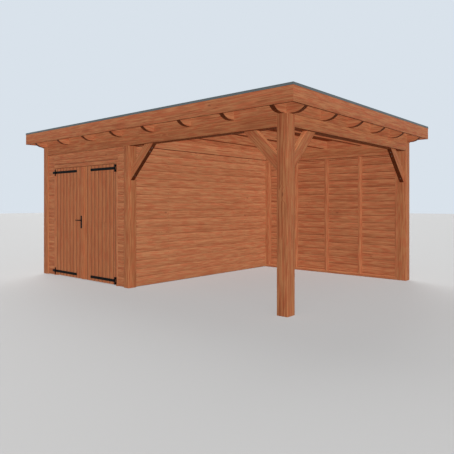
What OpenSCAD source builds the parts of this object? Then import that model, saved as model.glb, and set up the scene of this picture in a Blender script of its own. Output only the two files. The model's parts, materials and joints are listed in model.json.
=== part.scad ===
// Flat-roofed timber carport with a closed shed under the same roof.
// X runs along the front, Y to the back, Z up; the doors face the negative Y side.
// The origin is the middle of the plan at ground level.

/* [Overall size] */
// Clear width of the open bay between the middle post and the corner post
bay_w = 2764; // [2200:2:3600]
// Depth over the outer faces of the corner posts
depth_over_posts = 3670; // [3200:10:4200]
// Height of the boards between the door head and the ring beam
over_door_h = 184; // [100:2:300]
// Roof overhang from the post face to the outer face of the fascia
roof_overhang = 230; // [200:5:320]

/* [Frame timber] */
// Side of the square corner posts
post_size = 150; // [120:5:180]
// Width of the middle posts, along the front
middle_post_w = 115; // [110:5:150]
// Height of the ring beam
beam_h = 150; // [120:5:180]
// Distance from the corner to the upper edge of a brace
brace_near = 335; // [250:5:400]
// Distance from the corner to the lower edge of a brace
brace_far = 530; // [450:5:600]
// Thickness of a brace
brace_t = 70; // [45:5:80]
// Setback of the braces from the outer face of the posts
brace_setback = 40; // [20:5:60]

/* [Roof] */
// Number of rafters
rafter_count = 8; // [6:1:10]
// Width of a rafter
rafter_w = 70; // [50:5:90]
// Height of a rafter
rafter_h = 145; // [120:5:180]
// Number of lookouts along each short side
lookout_count = 6; // [4:1:8]
// Radius of the rounding under each rafter tail
tail_radius = 200; // [120:5:260]
// Height that the rounding lifts the underside at the tail's tip
tail_rise = 65; // [40:5:90]
// Thickness of the blocking between the tails
blocking_t = 40; // [30:1:45]
// Thickness of the fascia boards
fascia_t = 25; // [18:1:30]
// Depth of the fascia boards
fascia_h = 208; // [180:2:230]
// Thickness of the roof boards
deck_t = 20; // [18:1:28]
// Thickness of the roof covering
covering_t = 8; // [4:1:12]
// Width of the covered kerb inside the fascia
kerb_w = 45; // [35:1:60]
// Height of the metal edge trim's outer leg
trim_h = 30; // [24:1:55]
// Sheet thickness of the edge trim
trim_t = 4; // [3:0.5:6]

/* [Walls] */
// Thickness of the wall boards
board_t = 20; // [16:1:28]
// Setback of the front wall boards from the front of the posts
front_setback = 20; // [10:1:40]
// Setback of the wall frames from the post faces
frame_setback = 5; // [4:1:20]
// Setback of the partition boards from the open side of the middle posts
partition_setback = 20; // [10:1:25]
// Width of studs and height of rails
stud_w = 45; // [38:1:60]
// Width of the open bay's corner stud, beside the partition
corner_stud_w = 70; // [60:1:120]
// Depth of studs and rails in the outer walls
stud_d = 85; // [70:1:95]
// Depth of studs and rails in the partition
partition_stud_d = 70; // [60:1:75]
// Gap between ground and wall boards
ground_gap = 6; // [4:1:20]
// Intermediate studs in the open bay's back wall
bay_studs_n = 3; // [2:1:5]
// Intermediate studs in the shed's back wall
shed_back_studs_n = 2; // [1:1:4]
// Intermediate studs in the left wall and in the partition
side_studs_n = 4; // [2:1:6]

/* [Doors] */
// Clear width of the doorway between the jambs
doorway_w = 1800; // [1600:2:2200]
// Clear height of the doorway
doorway_h = 1930; // [1850:2:2200]
// Width of the boards between the left corner post and the jamb
left_field_w = 190; // [120:2:600]
// Width of the boards between the jamb and the middle post
right_field_w = 181; // [80:1:600]
// Face width of the jambs
jamb_w = 55; // [45:1:60]
// Face height of the door head
head_h = 71; // [50:1:90]
// Gap around each door leaf
leaf_gap = 6; // [5:0.5:10]
// Gap between the two leaves
meeting_gap = 8; // [7:0.5:12]
// Gap between ground and door leaf
leaf_ground_gap = 16; // [10:1:40]
// Thickness of the door boards
leaf_t = 22; // [18:1:30]
// Width of the cover strip on each meeting edge
strip_w = 32; // [30:1:45]
// Thickness of the cover strip
strip_t = 10; // [6:1:12]
// Height of a door ledge
ledge_h = 120; // [90:5:140]
// Thickness of a door ledge
ledge_t = 28; // [20:1:35]
// Side of the door stops
stop_w = 22; // [15:1:25]

/* [Hinges and handle] */
// Length of a hinge strap
strap_len = 690; // [400:10:740]
// Height of a hinge strap
strap_h = 44; // [30:1:50]
// Thickness of hinge straps and plates
strap_t = 5; // [4:0.5:8]
// Height of the hinge plate on the jamb
hinge_plate_h = 118; // [100:2:140]
// Width of the hinge plate on the jamb
hinge_plate_w = 12; // [12:1:36]
// Length of the tail on the left-hand hinge plates
plate_tail = 81; // [0:1:90]
// Distance of the hinge straps from the top and bottom of a leaf
strap_inset = 64; // [62:1:160]
// Radius of the hinge pins
pin_r = 6; // [4:0.5:7]
// Wall of the hinge eyes
eye_wall = 5; // [4:0.5:7]
// Running clearance around pins and spindle
pin_clear = 0.05; // [0.02:0.01:0.1]
// Clearance between hinge eyes and knuckles, along the pin
eye_gap = 1; // [0.5:0.1:2]
// Height of the lever's axis above ground
lever_z = 1015; // [950:5:1100]
// Length of the lever
lever_len = 113; // [95:1:130]
// Radius of the lever
lever_r = 9; // [7:0.5:10]
// Distance of the lever from the door face
lever_out = 52; // [45:1:65]
// Radius of the spindle
spindle_r = 8; // [6:0.5:9]
// Width of the handle plates
plate_w = 48; // [34:1:56]
// Height of the handle plates
plate_h = 214; // [180:2:240]
// Drop of the handle plates' middle below the lever's axis
plate_drop = 31; // [0:1:45]
// Thickness of the handle plates
plate_t = 6; // [4:0.5:8]

/* [Hidden] */
$fn = 40;
// Overlap that joins two solids or carries a cut past a face
lap = 1;
// Steps of the rounding under a tail
tail_steps = 8;
// Lap of the fascia below the tails' tips
fascia_lap = 4;
// Distance of the hinge eyes from the door face and from the hinge plate
eye_off = 3;
// Distance between cover strip and handle plate
plate_off = 2;
// Gap between the door stops at the corners
stop_gap = 2;
// Clearance of the spindle in the door boards
bore_clear = 2;
// Radius of the lever's neck beyond the spindle
neck_rim = 3;
// Gap between the neck and the handle plate
neck_gap = 0.5;
// Taper of the lever
lever_taper = 1;
shed_w = left_field_w + doorway_w + 2 * jamb_w + right_field_w;
hx = (2 * post_size + shed_w + middle_post_w + bay_w) / 2;
hy = depth_over_posts / 2;
px = hx - post_size;
py = hy - post_size;
head_top = doorway_h + head_h;
beam_underside = head_top + over_door_h;
beam_top = beam_underside + beam_h;
mid_r = px - bay_w;
mid_l = mid_r - middle_post_w;
partition_x = mid_r - partition_setback;
rafter_top = beam_top + rafter_h;
deck_top = rafter_top + deck_t;
ex = hx + roof_overhang;
ey = hy + roof_overhang;
ix = ex - fascia_t;
iy = ey - fascia_t;
fascia_bottom = beam_top + tail_rise - fascia_lap;
fascia_top = fascia_bottom + fascia_h;
roof_top = fascia_top + trim_t;
tail_run = sqrt(pow(tail_radius, 2) - pow(tail_radius - tail_rise, 2));
rafter_x0 = hx - post_size / 2;
rafter_step = 2 * rafter_x0 / (rafter_count - 1);
lookout_y0 = hy - post_size / 2;
lookout_step = 2 * lookout_y0 / (lookout_count - 1);
lookout_x = rafter_x0 + rafter_w / 2;
front_face = -hy + front_setback;
frame_y = front_face + board_t;
left_frame_x = -px - frame_setback - stud_d;
partition_frame_x = partition_x - board_t - partition_stud_d;
door_x = -px + left_field_w + jamb_w + doorway_w / 2;
jamb_x = doorway_w / 2;
leaf_w = (doorway_w - 2 * leaf_gap - meeting_gap) / 2;
leaf_top = doorway_h - leaf_gap;
axis_x = jamb_x - leaf_gap / 2;
eye_r = pin_r + pin_clear + eye_wall;
axis_y = front_face - eye_r - eye_off;
hinge_plate_x = axis_x + eye_r + eye_off;
strap_z = [leaf_ground_gap + strap_inset, leaf_top - strap_inset];
ledge_low = leaf_ground_gap + leaf_gap + ledge_h / 2;
ledge_high = doorway_h - stop_w - 2 * leaf_gap - ledge_h / 2;
ledge_z = [ledge_low, (ledge_low + ledge_high) / 2, ledge_high];
handle_x = meeting_gap / 2 + strip_w + plate_off + plate_w / 2;
plate_z = lever_z - plate_h / 2 - plate_drop;
neck_r = spindle_r + neck_rim;

// A box given by its low and high corners.
module span(lo, hi) {
  translate(lo) cube(hi - lo);
}

module timber() {
  color([0.50, 0.29, 0.16]) children();
}

module metal() {
  color([0.08, 0.08, 0.09]) children();
}

module sheet() {
  color([0.22, 0.23, 0.25]) children();
}

// A corner post stands to the top of the ring beam, which butts against it.
module corner_post(sx, sy) {
  timber() span([sx > 0 ? px : -hx, sy > 0 ? py : -hy, 0],
    [sx > 0 ? hx : -px, sy > 0 ? hy : -py, beam_top]);
}

module front_left_post() { corner_post(-1, -1); }
module front_right_post() { corner_post(1, -1); }
module back_left_post() { corner_post(-1, 1); }
module back_right_post() { corner_post(1, 1); }

// A middle post stops under the beam, which runs on over it.
module middle_post(sy) {
  timber() span([mid_l, sy > 0 ? py : -hy, 0],
    [mid_r, sy > 0 ? hy : -py, beam_underside]);
}

module front_middle_post() { middle_post(-1); }
module back_middle_post() { middle_post(1); }

module front_beam() {
  timber() span([-px, -hy, beam_underside], [px, -py, beam_top]);
}

module back_beam() {
  timber() span([-px, py, beam_underside], [px, hy, beam_top]);
}

module left_beam() {
  timber() span([-hx, -py, beam_underside], [-px, py, beam_top]);
}

module right_beam() {
  timber() span([px, -py, beam_underside], [hx, py, beam_top]);
}

// The tie between front and back beam closes the top of the partition.
module partition_beam() {
  timber() span([mid_l, -py, beam_underside], [mid_r, py, beam_top]);
}

// A brace in the XZ plane, its corner at the origin, rising towards positive X.
module brace() {
  rotate([90, 0, 0]) linear_extrude(brace_t)
    polygon([[0, -brace_far], [brace_far, 0], [brace_near, 0], [0, -brace_near]]);
}

// Two braces in the front plane and two in the plane of the open end.
module braces() {
  timber() translate([0, 0, beam_underside]) {
    translate([mid_r, -hy + brace_setback + brace_t, 0]) brace();
    translate([px, -hy + brace_setback + brace_t, 0]) mirror([1, 0, 0]) brace();
    for (s = [0, 1]) mirror([0, s, 0])
      translate([hx - brace_setback - brace_t, -py, 0]) rotate([0, 0, 90]) brace();
  }
}

// Underside of a tail: level under the eave, then a round that lifts it to the fascia.
function tail(reach) = [for (i = [0:tail_steps])
  let (a = i / tail_steps * asin(tail_run / tail_radius))
  [reach - tail_run + tail_radius * sin(a), beam_top + tail_radius * (1 - cos(a))]];

// The whole rafter with a rounded tail at both ends, as a profile swept over its width.
module rafter() {
  under = tail(iy);
  rotate([90, 0, 90]) translate([0, 0, -rafter_w / 2]) linear_extrude(rafter_w)
    polygon(concat(under, [[iy, rafter_top], [-iy, rafter_top]],
      [for (i = [len(under) - 1:-1:0]) [-under[i][0], under[i][1]]]));
}

module rafters() {
  timber() for (i = [0:rafter_count - 1])
    translate([-rafter_x0 + i * rafter_step, 0, 0]) rafter();
}

// A short lookout carries the overhang past the outermost rafter.
module lookout() {
  rotate([90, 0, 0]) translate([0, 0, -rafter_w / 2]) linear_extrude(rafter_w)
    polygon(concat([[lookout_x, beam_top]], tail(ix), [[ix, rafter_top], [lookout_x, rafter_top]]));
}

module lookouts() {
  timber() for (i = [0:lookout_count - 1], s = [0, 1])
    translate([0, -lookout_y0 + i * lookout_step, 0]) mirror([s, 0, 0]) lookout();
}

// Blocking closes the eave between the tails, flush with the beam below it.
module eave_blocking() {
  timber() {
    for (i = [0:rafter_count - 2], s = [0, 1])
      mirror([0, s, 0]) span([-rafter_x0 + i * rafter_step + rafter_w / 2, -hy, beam_top],
        [-rafter_x0 + (i + 1) * rafter_step - rafter_w / 2, -hy + blocking_t, rafter_top]);
    for (i = [0:lookout_count - 2], s = [0, 1])
      mirror([s, 0, 0]) span([lookout_x, -lookout_y0 + i * lookout_step + rafter_w / 2, beam_top],
        [hx, -lookout_y0 + (i + 1) * lookout_step - rafter_w / 2, rafter_top]);
  }
}

// Plan of one side of a mitred frame: outer half length a at distance b, inset by t.
module mitre(a, b, t) {
  polygon([[-a, -b], [a, -b], [a - t, -b + t], [-a + t, -b + t]]);
}

module fascia(a, b) {
  timber() translate([0, 0, fascia_bottom]) linear_extrude(fascia_h) mitre(a, b, fascia_t);
}

module front_fascia() { fascia(ex, ey); }
module back_fascia() { rotate([0, 0, 180]) fascia(ex, ey); }
module left_fascia() { rotate([0, 0, -90]) fascia(ey, ex); }
module right_fascia() { rotate([0, 0, 90]) fascia(ey, ex); }

// The edge trim is an angle: a leg down the fascia and a flange over it and the kerb.
module trim(a, b) {
  sheet() {
    translate([0, 0, roof_top - trim_h]) linear_extrude(trim_h)
      mitre(a + trim_t, b + trim_t, trim_t);
    translate([0, 0, fascia_top]) linear_extrude(trim_t)
      mitre(a + trim_t, b + trim_t, trim_t + fascia_t + kerb_w);
  }
}

module front_trim() { trim(ex, ey); }
module back_trim() { rotate([0, 0, 180]) trim(ex, ey); }
module left_trim() { rotate([0, 0, -90]) trim(ey, ex); }
module right_trim() { rotate([0, 0, 90]) trim(ey, ex); }

module roof_deck() {
  timber() span([-ix, -iy, rafter_top], [ix, iy, deck_top]);
}

// The roof covering is a shallow tray that turns up over the kerb to the trim.
module roof_covering() {
  sheet() difference() {
    span([-ix, -iy, deck_top], [ix, iy, fascia_top]);
    span([-ix + kerb_w, -iy + kerb_w, deck_top + covering_t],
      [ix - kerb_w, iy - kerb_w, fascia_top + lap]);
  }
}

// Boards beside the doorway.
module front_wall_sides() {
  timber() {
    span([-px, front_face, ground_gap], [door_x - jamb_x - jamb_w, frame_y, beam_underside]);
    span([door_x + jamb_x + jamb_w, front_face, ground_gap], [mid_l, frame_y, beam_underside]);
  }
}

// Boards over the doorway.
module front_wall_head() {
  timber() span([door_x - jamb_x - jamb_w, front_face, head_top],
    [door_x + jamb_x + jamb_w, frame_y, beam_underside]);
}

module left_wall() {
  timber() span([left_frame_x - board_t, -py, ground_gap], [left_frame_x, py, beam_underside]);
}

module back_wall() {
  y = py + frame_setback + stud_d;
  timber() {
    span([-px, y, ground_gap], [mid_l, y + board_t, beam_underside]);
    span([mid_r, y, ground_gap], [px, y + board_t, beam_underside]);
  }
}

module partition_wall() {
  timber() span([partition_x - board_t, -py, ground_gap], [partition_x, py, beam_underside]);
}

// Upright studs between the rails along X, one at each end and n between them.
module studs_along_x(x0, x1, y, n, first_w = stud_w) {
  for (i = [0:n + 1])
    translate([x0 + i * (x1 - x0 - stud_w) / (n + 1), y, stud_w])
      cube([i == 0 ? first_w : stud_w, stud_d, beam_underside - 2 * stud_w]);
}

// The same along Y, of depth d towards positive X.
module studs_along_y(y0, y1, x, d, n) {
  for (i = [0:n + 1])
    translate([x, y0 + i * (y1 - y0 - stud_w) / (n + 1), stud_w])
      cube([d, stud_w, beam_underside - 2 * stud_w]);
}

module wall_studs() {
  timber() {
    studs_along_x(mid_r, px, py + frame_setback, bay_studs_n, corner_stud_w);
    studs_along_x(-px, mid_l, py + frame_setback, shed_back_studs_n);
    studs_along_y(-py, py, left_frame_x, stud_d, side_studs_n);
    studs_along_y(-py, py, partition_frame_x, partition_stud_d, side_studs_n);
    for (x = [-px, mid_l - stud_w])
      span([x, frame_y, 0], [x + stud_w, frame_y + stud_d, beam_underside]);
  }
}

module wall_rails() {
  timber() for (z = [0, beam_underside - stud_w]) {
    translate([mid_r, py + frame_setback, z]) cube([bay_w, stud_d, stud_w]);
    translate([-px, py + frame_setback, z]) cube([shed_w, stud_d, stud_w]);
    translate([left_frame_x, -py, z]) cube([stud_d, 2 * py, stud_w]);
    translate([partition_frame_x, -py, z]) cube([partition_stud_d, 2 * py, stud_w]);
  }
}

module door_jambs() {
  timber() for (s = [0, 1]) translate([door_x, 0, 0]) mirror([s, 0, 0])
    span([jamb_x, front_face, 0], [jamb_x + jamb_w, frame_y + stud_d, doorway_h]);
}

module door_head() {
  timber() span([door_x - jamb_x - jamb_w, front_face, doorway_h],
    [door_x + jamb_x + jamb_w, frame_y + stud_d, head_top]);
}

// The closed leaves stop against battens on the jambs and the head.
module door_stops() {
  y = front_face + leaf_t + leaf_gap;
  timber() {
    for (s = [0, 1]) translate([door_x, 0, 0]) mirror([s, 0, 0])
      span([jamb_x - stop_w, y, 0], [jamb_x, y + stop_w, doorway_h]);
    span([door_x - jamb_x + stop_w + stop_gap, y, doorway_h - stop_w],
      [door_x + jamb_x - stop_w - stop_gap, y + stop_w, doorway_h]);
  }
}

// Hinge plate on the right-hand jamb: two knuckles carry the pin above and below the eye,
// and a tail of the given length runs on over jamb and boards in line with the strap.
module hinge_plate(tail) {
  knuckle = (hinge_plate_h - strap_h) / 2 - eye_gap;
  span([hinge_plate_x, front_face - strap_t, -hinge_plate_h / 2],
    [hinge_plate_x + hinge_plate_w, front_face, hinge_plate_h / 2]);
  span([hinge_plate_x, front_face - strap_t, -strap_h / 2],
    [hinge_plate_x + hinge_plate_w + tail, front_face, strap_h / 2]);
  for (s = [0, 1]) mirror([0, 0, s]) translate([0, 0, strap_h / 2 + eye_gap]) {
    translate([axis_x, axis_y, 0]) cylinder(r = eye_r, h = knuckle);
    span([axis_x, front_face - strap_t, 0], [hinge_plate_x + lap, front_face, knuckle]);
  }
  translate([axis_x, axis_y, -strap_h / 2 - eye_gap - lap])
    cylinder(r = pin_r, h = strap_h + 2 * eye_gap + 2 * lap);
}

module hinge_plates() {
  metal() for (z = strap_z, s = [0, 1])
    translate([door_x, 0, z]) mirror([s, 0, 0]) hinge_plate(s * plate_tail);
}

// Strap of the right-hand leaf, its eye around the pin.
module strap() {
  difference() {
    union() {
      span([axis_x - strap_len, front_face - strap_t, -strap_h / 2],
        [axis_x - leaf_gap, front_face, strap_h / 2]);
      span([axis_x - eye_r - leaf_gap, axis_y, -strap_h / 2],
        [axis_x - leaf_gap, front_face - strap_t, strap_h / 2]);
      translate([axis_x, axis_y, -strap_h / 2]) cylinder(r = eye_r, h = strap_h);
    }
    translate([axis_x, axis_y, -strap_h / 2 - lap])
      cylinder(r = pin_r + pin_clear, h = strap_h + 2 * lap);
  }
}

module straps(s) {
  metal() for (z = strap_z) translate([door_x, 0, z]) mirror([s, 0, 0]) strap();
}

// Right-hand leaf with the cover strip on its meeting edge.
module leaf() {
  span([meeting_gap / 2, front_face, leaf_ground_gap],
    [meeting_gap / 2 + leaf_w, front_face + leaf_t, leaf_top]);
  span([meeting_gap / 2, front_face - strip_t, leaf_ground_gap],
    [meeting_gap / 2 + strip_w, front_face, leaf_top]);
}

// Ledges behind the boards, kept clear of the stops and of the handle.
module ledges(s) {
  timber() translate([door_x, 0, 0]) mirror([s, 0, 0]) for (z = ledge_z)
    span([handle_x + plate_w, front_face + leaf_t, z - ledge_h / 2],
      [jamb_x - stop_w - 2 * leaf_gap, front_face + leaf_t + ledge_t, z + ledge_h / 2]);
}

module left_door_boards() {
  timber() difference() {
    translate([door_x, 0, 0]) mirror([1, 0, 0]) leaf();
    translate([door_x - handle_x, front_face - lap, lever_z]) rotate([-90, 0, 0])
      cylinder(r = spindle_r + bore_clear, h = leaf_t + 2 * lap);
  }
}

module right_door_boards() {
  timber() translate([door_x, 0, 0]) leaf();
}

module left_door_ledges() { ledges(1); }
module right_door_ledges() { ledges(0); }
module left_door_straps() { straps(1); }
module right_door_straps() { straps(0); }

module handle_plates() {
  metal() difference() {
    for (y = [front_face - plate_t, front_face + leaf_t])
      translate([door_x - handle_x - plate_w / 2, y, plate_z])
        cube([plate_w, plate_t, plate_h]);
    translate([door_x - handle_x, front_face - plate_t - lap, lever_z]) rotate([-90, 0, 0])
      cylinder(r = spindle_r + pin_clear, h = leaf_t + 2 * plate_t + 2 * lap);
  }
}

// One grip on its neck, along negative Y, pointing away from the meeting edge.
module grip() {
  rotate([90, 0, 0]) translate([0, 0, plate_t + neck_gap])
    cylinder(r = neck_r, h = lever_out - plate_t - neck_gap);
  translate([0, -lever_out, 0]) {
    sphere(r = neck_r);
    rotate([0, -90, 0])
      cylinder(r1 = lever_r, r2 = lever_r - lever_taper, h = lever_len - lever_r);
    translate([-lever_len + lever_r, 0, 0]) sphere(r = lever_r - lever_taper);
  }
}

module door_lever() {
  metal() translate([door_x - handle_x, front_face, lever_z]) {
    grip();
    translate([0, leaf_t, 0]) mirror([0, 1, 0]) grip();
    translate([0, leaf_t / 2, 0]) rotate([90, 0, 0])
      cylinder(r = spindle_r, h = leaf_t + 2 * (plate_t + neck_gap + lap), center = true);
  }
}

front_left_post();
front_middle_post();
front_right_post();
back_left_post();
back_middle_post();
back_right_post();
front_beam();
back_beam();
left_beam();
right_beam();
partition_beam();
braces();
rafters();
lookouts();
eave_blocking();
front_fascia();
back_fascia();
left_fascia();
right_fascia();
front_trim();
back_trim();
left_trim();
right_trim();
roof_deck();
roof_covering();
front_wall_sides();
front_wall_head();
left_wall();
back_wall();
partition_wall();
wall_studs();
wall_rails();
door_jambs();
door_head();
door_stops();
hinge_plates();
left_door_boards();
left_door_ledges();
left_door_straps();
handle_plates();
right_door_boards();
right_door_ledges();
right_door_straps();
door_lever();
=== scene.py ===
"""Looks of a flat-roofed timber carport with a closed shed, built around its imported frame.

Every timber gets eased edges and a grain that follows the log it was sawn from. Walls, door leaves and
roof deck are laid as separate boards. Fittings, roof sheet, edge trim, studio and camera follow.
All lengths are in metres, in the frame's own axes: X along the front, Y to the back, Z up.
"""

import json
import logging
import math
from collections.abc import Sequence
from dataclasses import dataclass, field
from enum import Enum
from functools import cache

import bpy
import numpy as np
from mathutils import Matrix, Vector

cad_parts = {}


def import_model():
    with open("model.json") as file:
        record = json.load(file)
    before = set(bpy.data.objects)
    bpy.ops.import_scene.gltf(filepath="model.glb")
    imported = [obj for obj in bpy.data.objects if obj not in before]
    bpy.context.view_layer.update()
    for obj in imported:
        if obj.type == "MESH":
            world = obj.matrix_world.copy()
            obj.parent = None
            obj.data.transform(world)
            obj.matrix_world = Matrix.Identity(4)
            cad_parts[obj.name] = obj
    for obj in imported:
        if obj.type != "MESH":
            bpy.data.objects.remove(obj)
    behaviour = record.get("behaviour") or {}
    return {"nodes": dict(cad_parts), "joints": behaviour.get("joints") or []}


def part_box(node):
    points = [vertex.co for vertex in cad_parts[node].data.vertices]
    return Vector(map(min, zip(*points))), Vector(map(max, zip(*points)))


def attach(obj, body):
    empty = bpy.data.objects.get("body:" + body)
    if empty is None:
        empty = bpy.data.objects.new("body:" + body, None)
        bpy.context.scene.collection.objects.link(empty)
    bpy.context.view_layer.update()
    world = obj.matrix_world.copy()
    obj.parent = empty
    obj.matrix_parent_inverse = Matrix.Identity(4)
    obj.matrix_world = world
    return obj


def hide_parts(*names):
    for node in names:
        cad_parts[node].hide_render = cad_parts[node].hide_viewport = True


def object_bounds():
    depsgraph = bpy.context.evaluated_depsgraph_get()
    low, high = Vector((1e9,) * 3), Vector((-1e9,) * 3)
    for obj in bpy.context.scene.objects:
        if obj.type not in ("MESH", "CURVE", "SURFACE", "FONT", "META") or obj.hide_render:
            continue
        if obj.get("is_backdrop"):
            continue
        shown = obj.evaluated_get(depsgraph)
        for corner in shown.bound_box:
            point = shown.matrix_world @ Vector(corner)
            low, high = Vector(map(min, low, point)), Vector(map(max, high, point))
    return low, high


Array = np.ndarray
Pair = tuple[float, float]
Triple = tuple[float, float, float]
Colour = Triple
LOG = logging.getLogger("carport")

# How much further than its edge radius a timber's section is rounded, so that no face vanishes.
ROUNDING = 1.5
# Most of a side that the rounding of one corner may take up.
SIDE_SHARE = 0.45
# A direction that no axis of the building runs along.
ASKEW = (0.31, 0.53, 0.79)
# Rounding of forged plates and straps along their edges.
PLATE_EDGE = 0.001
# Strength of every finish's bump.
BUMP = 0.6


class Way(Enum):
    """The six directions of the frame."""

    RIGHT = (1, 0, 0)
    LEFT = (-1, 0, 0)
    BACK = (0, 1, 0)
    FRONT = (0, -1, 0)
    UP = (0, 0, 1)
    DOWN = (0, 0, -1)

    @property
    def vector(self) -> Array:
        """The direction as an array."""
        return np.array(self.value, float)

    @property
    def opposite(self) -> "Way":
        """The direction turned round."""
        return Way(tuple(-part for part in self.value))

    @property
    def run(self) -> "Way":
        """Length direction of a side of the building that faces this way."""
        return Way.RIGHT if self in (Way.FRONT, Way.BACK) else Way.BACK


class Heart(Enum):
    """Where the middle of the log lies in a sawn piece."""

    BOXED = "inside the section, as in posts and beams"
    FLAT = "beneath the wide side, as in boards"


CROSS_WAYS = {
    Way.UP: (Way.RIGHT, Way.BACK),
    Way.RIGHT: (Way.BACK, Way.UP),
    Way.BACK: (Way.UP, Way.RIGHT),
}
SIDES = (Way.FRONT, Way.BACK, Way.LEFT, Way.RIGHT)


@dataclass(frozen=True)
class Box:
    """Low and high corner of a solid."""

    low: Array
    high: Array

    def span(self, direction: Array) -> Pair:
        """Lowest and highest place along a direction of the frame."""
        ends = sorted((float(direction @ self.low), float(direction @ self.high)))
        return ends[0], ends[1]

    def reach(self, way: Way) -> Pair:
        """Lowest and highest place along a way."""
        return self.span(way.vector)

    def middle(self) -> Array:
        """The centre."""
        return (self.low + self.high) / 2

    def longest(self) -> Way:
        """The way of its longest side."""
        return (Way.RIGHT, Way.BACK, Way.UP)[int(np.argmax(self.high - self.low))]


@dataclass
class Skin:
    """A surface as whole arrays: points, face corners, corners per face, place in the log, tone, and
    darkening for dirt and painted shade.
    """

    points: Array
    corners: Array
    sizes: Array
    place: Array = field(default_factory=lambda: np.zeros((0, 3)))
    tone: Array = field(default_factory=lambda: np.zeros(0))
    # Darkening: dirt and painted shade in board joints, painted shadow lines along timber edges.
    stain: Array = field(default_factory=lambda: np.zeros(0))

    def __post_init__(self) -> None:
        """Takes the points themselves as the place in the log until the piece is sawn."""
        if len(self.place) != len(self.points):
            self.place = self.points.copy()
            self.tone = np.zeros(len(self.points))
            self.stain = np.zeros(len(self.points))

    def mirrored(self, axis: int, centre: float) -> "Skin":
        """The mirror image across a plane, with its faces turned back outwards.

        Args:
            axis: The plane's normal as 0, 1 or 2.
            centre: Where the plane cuts that axis.

        Returns:
            The mirrored skin. Reversing the whole list of corners turns every face round.
        """
        points = self.points.copy()
        points[:, axis] = 2 * centre - points[:, axis]
        return Skin(points, self.corners[::-1], self.sizes[::-1], self.place, self.tone, self.stain)


def joined(skins: Sequence[Skin]) -> Skin:
    """Several skins as one.

    Args:
        skins: The skins, in order.

    Returns:
        One skin, in which each one's corners count on from the points before it.
    """
    counts = np.cumsum([0] + [len(skin.points) for skin in skins[:-1]])
    corners = np.concatenate([skin.corners + count for skin, count in zip(skins, counts)])
    names = ("points", "sizes", "place", "tone", "stain")
    others = {name: np.concatenate([getattr(skin, name) for skin in skins]) for name in names}
    return Skin(corners=corners, **others)


def unit(vector: Array) -> Array:
    """The vector, or each row of vectors, at length one."""
    return vector / np.linalg.norm(vector, axis=-1, keepdims=True)


def tube(points: Array) -> Skin:
    """A closed skin over a grid of rings.

    Args:
        points: Grid of ring, place on the ring, coordinate. Rings run anticlockwise seen against the path.

    Returns:
        Quads between neighbouring rings, and one face over the first and the last ring.
    """
    rings, count = points.shape[:2]
    index = np.arange(rings * count).reshape(rings, count)
    after = np.roll(index, -1, axis=1)
    quads = np.stack([index[:-1], after[:-1], after[1:], index[1:]], axis=-1)
    corners = np.concatenate([quads.ravel(), index[0, ::-1], index[-1]])
    sizes = np.concatenate([np.full((rings - 1) * count, 4), [count, count]])
    return Skin(points.reshape(-1, 3), corners, sizes)


def carry(path: Array, side: Array, up: Array, sections: Array) -> Skin:
    """A profile carried along a path.

    Point (i, j) is path point i, plus the profile's first coordinate along side and its second along up.

    Args:
        path: Points of the path.
        side: Direction of the profile's first coordinate, one or one per path point.
        up: Direction of its second coordinate; side x up points along the path.
        sections: Anticlockwise profile, one or one per path point.

    Returns:
        The closed skin.
    """
    side, up = (np.broadcast_to(way, path.shape)[:, None] for way in (side, up))
    sections = np.broadcast_to(sections, (len(path), *sections.shape[-2:]))
    return tube(path[:, None] + sections[..., :1] * side + sections[..., 1:] * up)


def rectangle(a: Pair, b: Pair) -> Array:
    """An anticlockwise rectangle over two ranges."""
    return np.array([[a[0], b[0]], [a[1], b[0]], [a[1], b[1]], [a[0], b[1]]])


def rounded(outline: Array, radius: float | Array, steps: int = 3) -> Array:
    """An outline with every corner rounded.

    A corner C becomes the curve (1-t)^2 A + 2t(1-t) C + t^2 B, where A and B lie on its two sides at the
    given distance from C, or nearer where a side is short.

    Args:
        outline: Anticlockwise corners.
        radius: Distance from each corner at which its rounding starts, one or one per corner.
        steps: Straight pieces per rounding.

    Returns:
        The rounded outline.
    """
    before, after = np.roll(outline, 1, axis=0) - outline, np.roll(outline, -1, axis=0) - outline
    shortest = np.minimum(np.linalg.norm(before, axis=1), np.linalg.norm(after, axis=1))
    cut = np.minimum(radius, SIDE_SHARE * shortest)[:, None]
    start, end = outline + unit(before) * cut, outline + unit(after) * cut
    t = np.linspace(0, 1, steps + 1)[:, None]
    curve = (1 - t) ** 2 * start[:, None] + 2 * t * (1 - t) * outline[:, None] + t**2 * end[:, None]
    return curve.reshape(-1, 2)


def inset(outline: Array, depths: Array) -> Array:
    """The outline moved inwards, once per depth.

    With n and m the inward normals of the sides that meet in a corner, it moves by
    depth (n + m) / (1 + n.m), which keeps both sides parallel.

    Args:
        outline: Anticlockwise corners.
        depths: Distances to move by.

    Returns:
        One outline per depth.
    """
    ahead = unit(np.roll(outline, -1, axis=0) - outline)
    normal = np.stack([-ahead[:, 1], ahead[:, 0]], axis=1)
    last = np.roll(normal, 1, axis=0)
    move = (last + normal) / (1 + (last * normal).sum(axis=1, keepdims=True))
    return outline + depths[:, None, None] * move


def extruded(section: Array, side: Way, up: Way, ends: Pair, edge: float) -> Skin:
    """A straight piece with eased ends.

    The section runs along side x up. At each end it shrinks by edge (1 - sin t) over the last
    edge (1 - cos t), with t from 0 to 90 degrees, which is a quarter round.

    Args:
        section: Anticlockwise outline, in coordinates along side and up.
        side: Direction of its first coordinate.
        up: Direction of its second coordinate.
        ends: Start and end along side x up.
        edge: Radius of the eased ends.

    Returns:
        The closed skin.
    """
    along = np.cross(side.vector, up.vector)
    turn = np.radians([0.0, 45.0, 90.0])
    back, depth = edge * (1 - np.cos(turn)), edge * (1 - np.sin(turn))
    stations = np.concatenate([ends[0] + back, (ends[1] - back)[::-1]])
    depths = np.concatenate([depth, depth[::-1]])
    return carry(stations[:, None] * along, side.vector, up.vector, inset(section, depths))


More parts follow.
